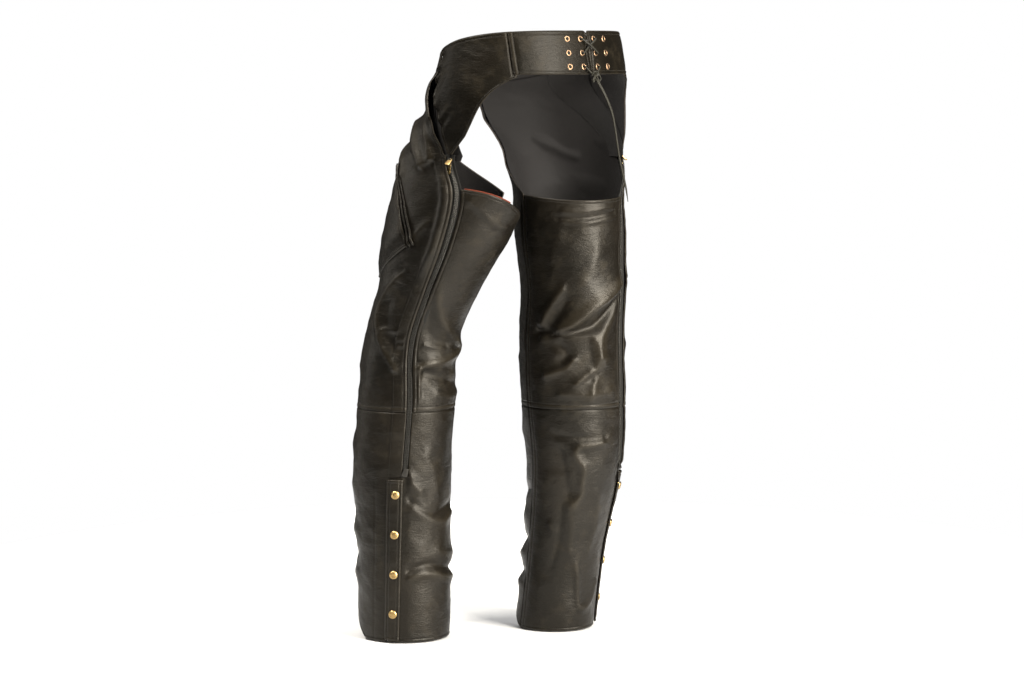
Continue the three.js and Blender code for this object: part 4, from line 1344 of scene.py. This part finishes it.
for side in SIDES:
    leg = LEGS[side]
    for which, place in LINED.items():
        lining = Panel(f"lining_{which}_{side}", side, inset(place(leg)), ALL_CUT, 0.0, 41,
                       step=4.5, shape=valleys_only)
        lining.make(LINING, LINING, LINING, thickness=0.5)
        lining.declare("chaps")
    end, sunk = (0.36, 0) if side == "left" else (0.9, 4)
    along = np.linspace(0.02, end, 100)
    height, angle, _ = back_upper_place(leg)(along, 1.0)
    stripe = np.array([skin(leg, height + rise - sunk, angle, out)
                       for rise, out in ((-9.0, -3.3), (-1.0, -2.7), (1.3, -2.3), (1.5, -1.9))])
    count = len(along)
    faces = [(r * count + k, r * count + k + 1, (r + 1) * count + k + 1, (r + 1) * count + k)
             for r in range(len(stripe) - 1) for k in range(count - 1)]
    binding = mesh_object(f"lining_binding_{side}", stripe.reshape(-1, 3), faces, [BINDING])
    binding.data.uv_layers.new(name="cut")
    corner = np.empty(len(binding.data.loops), int)
    binding.data.loops.foreach_get("vertex_index", corner)
    cut = np.stack([corner % count * 1.6, corner // count * 4.0], -1) * MM
    binding.data.uv_layers["cut"].data.foreach_set("uv", cut.ravel())
    wall = binding.modifiers.new("wall", "SOLIDIFY")
    wall.thickness = 0.5 * MM
    bpy.context.view_layer.objects.active = binding
    bpy.ops.object.modifier_apply(modifier="wall")
    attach(binding, "chaps")

# %% [markdown]
# Each side zip is two rows of metal teeth clenched on two woven tapes, closed from end to end.
# The tapes are sewn under the panels' edges. One tooth is a small block with a waist and a
# rounded tip, made once and copied by the hundred, so it has few faces. Left and right teeth
# take turns along the chain.

# %% Zip teeth and tapes
CHAIN_PITCH, CHAIN_OUT = 2.9, -0.9
CHAIN_LOW, CHAIN_TOP = ZIP_END + 6, ZIP_TOP - 2
bpy.ops.object.select_all(action="DESELECT")
bpy.ops.mesh.primitive_cube_add(size=1)
tooth = bpy.context.object
tooth.name = "one_tooth"
tooth.data.transform(Matrix.Diagonal((4.6 * MM, 1.5 * MM, 2.3 * MM, 1)))
bpy.ops.object.mode_set(mode="EDIT")
bpy.ops.mesh.select_all(action="SELECT")
bpy.ops.mesh.bevel(offset=0.5 * MM, segments=1)
bpy.ops.object.mode_set(mode="OBJECT")
tooth_points = np.array([tuple(v.co) for v in tooth.data.vertices])
tooth_points[:, 1] *= 1 - 0.35 * (tooth_points[:, 0] < 0)
tooth_faces = [tuple(p.vertices) for p in tooth.data.polygons]
bpy.data.objects.remove(tooth)

for side in SIDES:
    leg = LEGS[side]
    heights = np.arange(CHAIN_LOW, CHAIN_TOP, 0.5)
    middle = skin(leg, heights, zip_angle(leg, heights), CHAIN_OUT)
    run = arc(middle[None], 1)[0]
    vertices, faces = [], []
    for k, at in enumerate(np.arange(1, run[-1] - 1, CHAIN_PITCH / 2)):
        height = float(np.interp(at, run, heights))
        ahead = skin(leg, height + 2, zip_angle(leg, height + 2), CHAIN_OUT)
        spot = frame_on(leg, height, float(zip_angle(leg, height)), CHAIN_OUT, along=Vector(ahead))
        hand = 1 if k % 2 else -1
        placed = spot @ Matrix(((hand, 0, 0, hand * 1.5 * MM), (0, 0, 1, 0), (0, -1, 0, 0),
                                (0, 0, 0, 1)))
        flipped = placed.to_3x3().determinant() < 0
        first = len(vertices)
        vertices += [tuple(placed @ Vector(p)) for p in tooth_points]
        faces += [tuple(first + n for n in (f[::-1] if flipped else f)) for f in tooth_faces]
    teeth = mesh_object(f"zip_teeth_{side}", vertices, faces, [TEETH])
    teeth.data.shade_flat()
    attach(teeth, "chaps")
    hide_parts(f"zip_chain_{side}")
    print("teeth", side, len(faces) // len(tooth_faces))
    for hand, label in ((-1, "front"), (1, "back")):
        def tape_place(across, up, hand=hand):
            height = lerp(CHAIN_LOW - 2, CHAIN_TOP + 4, up)
            wide = 17 if hand < 0 else lerp(17, 6, smooth((height - 770) / 30))
            spread = lerp(1.6, wide, across) / ROUND * hand
            stand = zip_edge_stand(leg, height, lerp(-2, 13.5, across)) * smooth(across * 2)
            out = lerp(-1.6, -2.35, smooth(across * 3)) + stand * (hand < 0)
            return height, zip_angle(leg, height) + spread, out
        tape = Panel(f"zip_tape_{label}_{side}", side, tape_place, ALL_CUT, 0.0, 37, step=6)
        tape.make(TAPE, TAPE, TAPE, thickness=0.55)
        tape.declare("chaps", slot="zip")

# %% [markdown]
# Round hardware is turned. A plane is merged to one point, which is moved to the start of a
# profile, extruded along it, and spun about the Z axis, as on a lathe. The doubles where the
# spin closes are merged and the faces turned outwards.


# %% Turned pieces
def turned(name, profile, steps, material):
    bpy.ops.object.select_all(action="DESELECT")
    bpy.ops.mesh.primitive_plane_add(size=MM)
    obj = bpy.context.object
    obj.name = name
    bpy.ops.object.mode_set(mode="EDIT")
    bpy.ops.mesh.select_all(action="SELECT")
    bpy.ops.mesh.merge(type="CENTER")
    bpy.ops.mesh.select_all(action="SELECT")
    bpy.ops.transform.translate(value=(profile[0][0] * MM, 0, profile[0][1] * MM))
    for before, after in zip(profile[:-1], profile[1:]):
        step = ((after[0] - before[0]) * MM, 0, (after[1] - before[1]) * MM)
        bpy.ops.mesh.extrude_vertices_move(TRANSFORM_OT_translate={"value": step})
    bpy.ops.mesh.select_all(action="SELECT")
    bpy.ops.mesh.spin(steps=steps, angle=2 * math.pi, center=(0, 0, 0), axis=(0, 0, 1))
    bpy.ops.mesh.select_all(action="SELECT")
    bpy.ops.mesh.remove_doubles(threshold=0.00001)
    bpy.ops.mesh.normals_make_consistent(inside=False)
    bpy.ops.object.mode_set(mode="OBJECT")
    bpy.ops.object.shade_smooth_by_angle(angle=math.radians(38))
    obj.data.materials.append(material)
    return obj


def copy_to(pattern, name, placed, body, node):
    mesh = pattern.data.copy()
    mesh.transform(placed)
    obj = bpy.data.objects.new(name, mesh)
    bpy.context.scene.collection.objects.link(obj)
    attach(obj, body)
    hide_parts(node)


EYELET_PROFILE = [(2.75, 0.4), (2.95, 0.95), (3.5, 1.35), (4.3, 1.4), (5.0, 1.1), (5.55, 0.45),
                  (5.65, 0.1), (5.2, 0.15), (4.2, 0.35), (3.35, 0.0), (3.15, -1.6),
                  (3.15, -3.0), (4.7, -3.1), (4.8, -3.5), (4.3, -3.85), (3.2, -3.8),
                  (2.75, -3.2), (2.75, 0.4)]
CAP_PROFILE = [(0, 3.05), (1.3, 3.0), (1.7, 2.72), (2.1, 2.95), (3.6, 2.75), (4.1, 2.3),
               (4.6, 2.55), (5.9, 2.15), (6.9, 1.5), (7.55, 0.7), (7.6, 0.2), (7.2, -0.05),
               (4.0, 0.1), (1.6, 0.1), (1.5, -3.0), (5.3, -3.1), (5.4, -3.7), (4.6, -4.2),
               (2.7, -4.2), (2.6, -3.5), (0, -3.5)]
STUD_PROFILE = [(0, 1.15), (1.4, 1.1), (2.0, 0.7), (1.7, 0.3), (1.5, 0), (1.5, -3.2),
                (4.6, -3.35), (4.8, -3.8), (4.2, -4.2), (0, -4.2)]
eyelet = turned("eyelet_pattern", EYELET_PROFILE, 28, COPPER)
cap = turned("cap_pattern", CAP_PROFILE, 36, BRASS)
stud = turned("stud_pattern", STUD_PROFILE, 20, BRASS)
print("patterns", [len(piece.data.polygons) for piece in (eyelet, cap, stud)])

# %% [markdown]
# The cap of a snap has a ring of small beads pressed into its rim. They are pulled out of the
# dome by choosing every other face of one ring and pushing it up.

# %% Beads on the snap caps, and copies
EYELET_TURNS, EYELET_DROPS = (5.3, 14.5), (14.5, 38.5, 62)
SNAP_TURN, SNAP_FIRST, SNAP_PITCH, SNAP_COUNT = 10, 51, 70.7, 4
EYELET_LIFT, CAP_LIFT = 0.5, 0.3
bpy.ops.object.select_all(action="DESELECT")
bpy.context.view_layer.objects.active = cap
cap.select_set(True)
bpy.ops.object.mode_set(mode="EDIT")
bpy.ops.mesh.select_all(action="DESELECT")
shape = bmesh.from_edit_mesh(cap.data)
shape.faces.ensure_lookup_table()
for face in shape.faces:
    centre = face.calc_center_median()
    ring = math.hypot(centre.x, centre.y) / MM
    turn = round(math.degrees(math.atan2(centre.y, centre.x)) / 10 - 0.5)
    face.select = 4.8 < ring < 5.7 and centre.z > MM and turn % 2 == 0
bmesh.update_edit_mesh(cap.data)
bpy.ops.mesh.inset(thickness=0.1 * MM, use_individual=True)
bpy.ops.transform.translate(value=(0, 0, 0.22 * MM))
bpy.ops.object.mode_set(mode="OBJECT")

for side in SIDES:
    leg = LEGS[side]
    holes = [(turn, drop) for turn in EYELET_TURNS for drop in EYELET_DROPS]
    for number, (turn, drop) in enumerate(holes, 1):
        spot = frame_on(leg, TOP_TO_HEM - drop, lacing_centre(leg) - turn, 0)
        lifted = spot @ Matrix.Translation((0, EYELET_LIFT * MM, 0))
        copy_to(eyelet, f"rolled_eyelet_{side}_{number}", lifted @ FACE_OUT, "chaps",
                f"eyelet_{side}_{number}")
    for k in range(SNAP_COUNT):
        height = SNAP_FIRST + k * SNAP_PITCH
        spot = frame_on(leg, height, float(zip_angle(leg, height)) - SNAP_TURN, 0)
        copy_to(stud, f"snap_post_{side}_{k + 1}", spot @ FACE_OUT, "chaps",
                f"snap_stud_{side}_{k + 1}")
        lifted = spot @ Matrix.Translation((0, (FLAP_OFF + CAP_LIFT) * MM, 0))
        copy_to(cap, f"snap_dome_{side}_{k + 1}", lifted @ FACE_OUT, f"snap_flap_{side}",
                f"snap_cap_{side}_{k + 1}")
for pattern in (eyelet, cap, stud):
    bpy.data.objects.remove(pattern)
print("eyelets and snaps placed")

# %% [markdown]
# A zip's slider is a pinched body that straddles the chain, with a bridge that holds the pull.
# The body starts as a cube: its lower half is narrowed and its corners are rounded. A thin
# flange of the same outline lies under it, and the bridge is a bent bar.

# %% Zip sliders
def box_piece(name, size, centre, material, bevel):
    """A cube with its edges rounded, the start of every small casting."""
    bpy.ops.object.select_all(action="DESELECT")
    bpy.ops.mesh.primitive_cube_add(size=1)
    obj = bpy.context.object
    obj.name = name
    obj.data.transform(Matrix.Translation(Vector(centre) * MM) @ Matrix.Diagonal(
        (size[0] * MM, size[1] * MM, size[2] * MM, 1)))
    bpy.ops.object.mode_set(mode="EDIT")
    bpy.ops.mesh.select_all(action="SELECT")
    bpy.ops.mesh.subdivide(number_cuts=2)
    bpy.ops.object.mode_set(mode="OBJECT")
    soft = obj.modifiers.new("soft", "BEVEL")
    soft.width, soft.segments, soft.limit_method = bevel * MM, 3, "ANGLE"
    obj.data.materials.append(material)
    return obj


def finish_piece(obj):
    bpy.ops.object.select_all(action="DESELECT")
    bpy.context.view_layer.objects.active = obj
    obj.select_set(True)
    for modifier in list(obj.modifiers):
        bpy.ops.object.modifier_apply(modifier=modifier.name)
    bpy.ops.object.shade_smooth_by_angle(angle=math.radians(40))


def join(pieces):
    bpy.ops.object.select_all(action="DESELECT")
    for piece in pieces:
        finish_piece(piece)
    for piece in pieces:
        piece.select_set(True)
    bpy.context.view_layer.objects.active = pieces[0]
    bpy.ops.object.join()
    return pieces[0]


SLIDER_BASE, PULL_AXIS, PULL_DROP = 2.6, 0.9, 0.8
body = box_piece("slider_pattern", (9.6, 2.4, 13.6), (0, 1.3, 0), BRASS, 0.55)
for vertex in body.data.vertices:
    z, x = vertex.co.z / MM, vertex.co.x / MM
    shoulder = 0.64 + 0.36 * float(smooth((z + 7) / 9))
    vertex.co.x = x * shoulder * MM
    vertex.co.y -= 0.25 * abs(x) / 5 * MM
flange = box_piece("slider_flange", (10, 0.7, 14), (0, 0.1, 0), BRASS, 0.3)
for vertex in flange.data.vertices:
    vertex.co.x *= 0.7 + 0.3 * float(smooth((vertex.co.z / MM + 7) / 9))
bridge_path = smooth_path(np.array([(0, 2.0, -4.0), (0, 4.0, -3.7), (0, 5.6, -2.4), (0, 5.9, 0),
                                    (0, 5.6, 2.4), (0, 4.0, 3.7), (0, 2.0, 4.0)]) * MM, 0.0009)
bridge = tube("slider_bridge", bridge_path, 1.1 * MM, 8, BRASS, flat=0.55)
slider = join([body, flange, bridge])
dark_slider = slider.copy()
dark_slider.data = slider.data.copy()
dark_slider.data.materials.clear()
dark_slider.data.materials.append(TEETH)
print("slider", len(slider.data.polygons), "faces")

# %% [markdown]
# The short brass pull is a flat bar with a slot at each end. The long one ends in a leather tab
# held by a small metal bar. Both are modelled hanging from their pivot, which is the origin.

# %% Zip pulls
PLATE_ROUND = 0.12


def pull_plate(name, outline, holes, thickness, material):
    """A flat plate made from an outline with holes: a curve filled and given its thickness."""
    curve = bpy.data.curves.new(name, "CURVE")
    curve.dimensions, curve.fill_mode = "2D", "BOTH"
    curve.extrude = thickness / 2 * MM - PLATE_ROUND * MM
    curve.bevel_depth, curve.bevel_resolution = PLATE_ROUND * MM, 1
    for loop in [outline] + holes:
        spline = curve.splines.new("POLY")
        spline.points.add(len(loop) - 1)
        spline.use_cyclic_u = True
        for point, (x, y) in zip(spline.points, loop):
            point.co = (x * MM, y * MM, 0, 1)
    plate = bpy.data.objects.new(name, curve)
    bpy.context.scene.collection.objects.link(plate)
    bpy.ops.object.select_all(action="DESELECT")
    bpy.context.view_layer.objects.active = plate
    plate.select_set(True)
    bpy.ops.object.convert(target="MESH")
    plate.data.transform(Matrix.Rotation(math.pi / 2, 4, "X"))
    plate.data.materials.clear()
    plate.data.materials.append(material)
    bpy.ops.object.mode_set(mode="EDIT")
    bpy.ops.mesh.select_all(action="SELECT")
    bpy.ops.mesh.remove_doubles(threshold=0.00001)
    bpy.ops.mesh.normals_make_consistent(inside=False)
    bpy.ops.object.mode_set(mode="OBJECT")
    bpy.ops.object.shade_smooth_by_angle(angle=math.radians(40))
    return plate


def rounded(half_width, top, bottom, corner):
    """A box with round corners, from a top height down to a bottom height."""
    loop, wide = [], half_width - corner
    for x, y, start in ((wide, top - corner, 0), (-wide, top - corner, 90),
                        (-wide, bottom + corner, 180), (wide, bottom + corner, 270)):
        for k in range(6):
            turn = math.radians(start + 18 * k)
            loop.append((x + corner * math.cos(turn), y + corner * math.sin(turn)))
    return loop


def waisted(outline):
    return [(x * (0.86 if y > -9 else 1.0), y) for x, y in outline]


PULL_THICKNESS = 1.2
pivot_slot = rounded(1.6, -0.6, -7.2, 0.8)[::-1]
short_pull = pull_plate("short_pull_pattern", waisted(rounded(3.2, 0.8, -20, 1.8)),
                        [pivot_slot, rounded(1.5, -11.2, -17.6, 1.3)[::-1]], PULL_THICKNESS, BRASS)
link = pull_plate("long_pull_pattern", waisted(rounded(3.2, 0.8, -12.5, 1.4)),
                  [pivot_slot, rounded(2.0, -9.2, -11.4, 0.8)[::-1]], PULL_THICKNESS, TEETH)
tab = box_piece("pull_tab", (5.6, 1.9, 21.0), (0, 0.1, -22.0), LEATHER, 0.6)
for vertex in tab.data.vertices:
    z = vertex.co.z / MM
    vertex.co.x *= 1 - 0.22 * math.cos((z + 33) / 22 * math.pi) ** 2
end_bar = turned("pull_end_bar", [(0, -3.9), (0.8, -3.9), (1.25, -3.5), (1.25, 3.5), (0.8, 3.9),
                                  (0, 3.9)], 16, BRASS)
end_bar.data.transform(Matrix.Translation((0, 0, -33.2 * MM))
                       @ Matrix.Rotation(math.pi / 2, 4, "Y"))
long_pull = join([tab, link, end_bar])
print("pulls", len(short_pull.data.polygons), len(long_pull.data.polygons))

# %% [markdown]
# Each slider stands on the chain where it is parked. Its pull hangs straight down as far as its
# pivot lets it, and otherwise lies along the chain.

# %% Sliders and pulls in place
SLIDERS = {"top": {"height": 852, "towards": 814, "stand_off": 1.8},
           "bottom": {"height": 303, "towards": 423, "stand_off": 2.8}}
for side in SIDES:
    leg = LEGS[side]
    for end, slide in SLIDERS.items():
        here = Vector(skin(leg, slide["height"], zip_angle(leg, slide["height"])))
        there = Vector(skin(leg, slide["towards"], zip_angle(leg, slide["towards"])))
        up = here - there if here.z > there.z else there - here
        angle = float(zip_angle(leg, slide["height"]))
        spot = frame_on(leg, slide["height"], angle, slide["stand_off"],
                        along=Vector(skin(leg, slide["height"], angle, slide["stand_off"])) + up)
        runner = slider if end == "top" else dark_slider
        copy_to(runner, f"zip_{end}_runner_{side}", spot, f"zip_{end}_slider_{side}",
                f"zip_{end}_slider_{side}")
        across, normal, upward = (spot.col[k].to_3d() for k in range(3))
        hang = Vector((0, 0, 1)) - across * across.z
        hang = hang.normalized()
        if hang.dot(normal) < 0:
            upward = hang
        normal = upward.cross(across)
        axes = Matrix((across, normal, upward)).transposed().to_4x4()
        axes.translation = spot @ Vector((0, (SLIDER_BASE + PULL_AXIS) * MM, -PULL_DROP * MM))
        pattern, slot = (short_pull, "brass") if end == "top" else (long_pull, "tab")
        copy_to(pattern, f"zip_{end}_tag_{side}", axes, f"zip_{end}_pull_{side}",
                f"zip_{end}_pull_{side}")
for pattern in (slider, dark_slider, short_pull, long_pull):
    bpy.data.objects.remove(pattern)
print("sliders and pulls placed")

# %% [markdown]
# The buckle in front is a bent wire frame. Its heel bar carries the prong, and the left strap's
# end folds back round it. A leather keeper further on holds the right strap's tip down. The
# frame's corners are rounded and the prong has a rolled eye. Both are made in the buckle's axes.

# %% Buckle
heel, far = (-HEEL_BAR_X, -2.4), (-FAR_BAR_X, 1.9)
half = 22.0


def rail_point(x, z):
    """A point of the frame: it slants outwards from its heel bar to its far bar."""
    share = (x - heel[0]) / (far[0] - heel[0])
    return (x, lerp(heel[1], far[1], share), z)


corner = 5.0
outline = []
for x, z, start in ((far[0] - corner, half - corner, 0), (heel[0] + corner, half - corner, 90),
                    (heel[0] + corner, corner - half, 180), (far[0] - corner, corner - half, 270)):
    for k in range(7):
        turn = math.radians(start + 15 * k)
        outline.append(rail_point(x + corner * math.cos(turn), z + corner * math.sin(turn)))
ring = []
for a, b in zip(outline, outline[1:] + outline[:1]):
    a, b = np.array(a), np.array(b)
    count = max(int(np.linalg.norm(b - a) / 2), 1)
    ring += [a + (b - a) * k / count for k in range(count)]
buckle = tube("buckle_ring", np.array(ring) * MM, 1.8 * MM, 14, BRASS, closed=True)
buckle.data.transform(buckle_space)
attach(buckle, "buckle_frame")
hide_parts("buckle_frame")
tip = Vector((far[0] + 3.2, far[1] + 3.6, 0))
eye_turns = np.radians(np.linspace(-200, 82, 22))
eye = [(heel[0] + 2.65 * math.cos(t), heel[1] + 2.65 * math.sin(t), 0) for t in eye_turns]
shank = [(heel[0] + 6, heel[1] + 3.6, 0), (-6, 3.6, 0), (8, 4.9, 0), tuple(tip)]
prong_path = smooth_path(np.array(eye[::3] + [eye[-1]] + shank) * MM, 0.0012)
share = np.linspace(0, 1, len(prong_path))
taper = 1.3 - 0.55 * smooth((share - 0.75) / 0.25)
prong = tube("buckle_tongue", prong_path, taper * MM, 12, BRASS)
prong.data.transform(buckle_space)
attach(prong, "buckle_prong")
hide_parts("buckle_prong")
print("buckle", len(buckle.data.polygons), "prong", len(prong.data.polygons))


# %% Keeper and fold of the strap round the heel bar
def fold_place(across, up):
    x = lerp(HEEL_BAR_X + 22, HEEL_BAR_X - 0.6, across)
    angle = belt_angle(x)
    out = lerp(-2.1, -5.2, smooth((across - 0.6) * 2.5))
    return strap_height(angle, lerp(0.14, 0.86, up)), angle, out


def keeper_place(across, up):
    x = lerp(60, 50, across)
    angle = belt_angle(x)
    return strap_height(angle, lerp(-0.09, 1.09, up)), angle, 5.6


fold = Panel("strap_fold_round_heel_bar", "left", fold_place, ALL_CUT, 0.0, 3, step=3)
fold.make(BELT_LEATHER, FLESH, thickness=1.4)
fold.declare("chaps", held="folded")
keeper = Panel("strap_keeper", "left", keeper_place, ALL_CUT, 0.0, 3, step=2)
keeper.make(BELT_LEATHER, FLESH, thickness=1.5)
keeper.declare("chaps", held="folded")

# %% [markdown]
# The lacing goes up one side, crosses in the middle and comes down the other side, through the
# two inner columns of eyelets. Below the belt its ends are tied in an overhand knot with a small
# loop, and the free ends made at the start leave from there.

# %% Lacing and knot
KNOT_DROP = 75


def lace_point(turn, drop, out):
    return skin(LEGS["left"], TOP_TO_HEM - drop, LACE_CENTRE + turn, out)


def through(turn, drop, inwards):
    path = [lace_point(turn, drop, out) for out in (5.5, 1.6, -3, -6)]
    return path if inwards else path[::-1]


inner, (top_drop, middle_drop, low_drop) = EYELET_TURNS[0], EYELET_DROPS
halfway = (top_drop + middle_drop) / 2
route = [lace_point(-0.8, KNOT_DROP, 7), lace_point(-inner * 0.6, low_drop + 7, 6),
         *through(-inner, low_drop, True), *through(-inner, middle_drop, False),
         lace_point(0, halfway, 4), *through(inner, top_drop, True),
         *through(-inner, top_drop, False),
         lace_point(0, halfway, 8.2), *through(inner, middle_drop, True),
         *through(inner, low_drop, False), lace_point(inner * 0.6, low_drop + 7, 6),
         lace_point(0.8, KNOT_DROP, 7)]
path = smooth_path(np.array(route), 0.0016)
wobble = 1 + 0.07 * hills(np.arange(len(path)) / 6, np.zeros(len(path)), 3)
lacing = tube("thong_lacing", path, 1.7 * MM * wobble, 12, LACE, flat=0.9)
knot_turn = np.linspace(0, 2 * math.pi, 90, endpoint=False)
knot = np.stack([np.sin(knot_turn) + 2 * np.sin(2 * knot_turn), -1.5 * np.sin(3 * knot_turn),
                 np.cos(knot_turn) - 2 * np.cos(2 * knot_turn)], -1)
knot_centre = lace_point(0, KNOT_DROP, 7.5)
knot_path = knot * np.array((2.3, 1.7, 2.3)) * MM + knot_centre
knot_piece = tube("thong_knot", knot_path, LACE_RADIUS * MM, 10, LACE, flat=0.9, closed=True)
bow = np.array([(-1, 0.5, 1), (-6.5, 3, -1), (-9.5, 3.5, -7), (-7, 3, -11), (-3, 2.5, -6),
                (0, 1.5, -1), (4, 3, -3), (8.5, 3.5, -8), (7.5, 3, -12.5), (4, 2.5, -7), (1, 1, 0)])
bow_path = smooth_path(bow * MM * 1.05 + knot_centre, 0.0012)
bow_piece = tube("thong_loops", bow_path, 1.5 * MM, 10, LACE, flat=0.85)
for piece in (lacing, knot_piece, bow_piece):
    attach(piece, "chaps")
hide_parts("lace")
print("lacing", len(lacing.data.polygons), "faces")

# %% [markdown]
# The room is a pale studio. A tall soft light stands to the camera's right, so the leather shows
# it wherever it turns that way. A weak one behind on the left draws the far edges, a high one on
# the left picks out the folds of the hip, and a large one hangs overhead. What the camera sees
# beyond the floor is white, but only a little light comes from there, which keeps the dark leather
# dark.


# %% Studio
def soft_light(name, turn, height, distance, size, power, tint):
    spot = Vector((math.sin(turn) * distance, -math.cos(turn) * distance, height))
    bpy.ops.object.light_add(type="AREA", location=spot)
    light = bpy.context.object
    light.name = name
    light.rotation_euler = (spot - Vector((0, 0, -0.5))).to_track_quat("Z", "Y").to_euler()
    light.data.shape = "RECTANGLE"
    light.data.size, light.data.size_y = size
    light.data.energy, light.data.color = power, tint


WARM = (1.0, 0.955, 0.87)
FLOOR_RADIUS = 1.3
WORLD_LIGHT = 0.05
soft_light("key", CAMERA_TURN + math.radians(46), 0.1, 1.9, (0.8, 2.2), 190, WARM)
soft_light("rim", CAMERA_TURN - math.radians(112), 0.4, 3.2, (1.1, 2.6), 22, WARM)
soft_light("high_left", CAMERA_TURN - math.radians(68), 2.6, 2.3, (0.9, 0.9), 190, WARM)
soft_light("overhead", CAMERA_TURN + math.radians(180), 3.4, 0.7, (4.2, 4.2), 225, (1, 1, 1))

bpy.ops.object.select_all(action="DESELECT")
floor_centre = Vector((0, 0, -TOP_TO_HEM * MM - 0.002)) - to_camera * 0.3
bpy.ops.mesh.primitive_circle_add(vertices=96, radius=FLOOR_RADIUS, fill_type="NGON",
                                  location=tuple(floor_centre))
floor = bpy.context.object
floor.name = "studio_floor"
pale = Finish("studio_white")
reach = pale.node("VectorMath", {"operation": "LENGTH"}, {0: pale.place()}, 1)
far = reach.between(0.5, 1.25)
# painted glow: the floor's outer ring glows though it is no lamp, so it reads as a white lit floor
painted_glow = pale.mix(far, colour(0.0, 0.0, 0.0), colour(0.6, 0.6, 0.6))
# painted shadow: the floor is painted greyer near the legs, where their shade would fall
paint_with_painted_shadow = pale.mix(reach.between(0.25, 0.9), colour(0.62, 0.62, 0.62), colour(0.8, 0.8, 0.8))
floor.data.materials.append(pale.surface(Base_Color=paint_with_painted_shadow, Roughness=0.9,
                                         Emission_Color=painted_glow, Emission_Strength=1.0))
world = bpy.data.worlds.new("studio")
bpy.context.scene.world = world
world.use_nodes = True
tree = world.node_tree
backdrop = tree.nodes["Background"]
backdrop.inputs["Color"].default_value = (1, 1, 1, 1)
ray = tree.nodes.new("ShaderNodeLightPath")
level = tree.nodes.new("ShaderNodeMath")
level.operation = "MULTIPLY_ADD"
level.inputs[1].default_value = 1 - WORLD_LIGHT
level.inputs[2].default_value = WORLD_LIGHT
tree.links.new(ray.outputs["Is Camera Ray"], level.inputs[0])
tree.links.new(level.outputs[0], backdrop.inputs["Strength"])
bpy.context.scene.view_settings.view_transform = "Standard"
print("studio floor", FLOOR_RADIUS, "m")
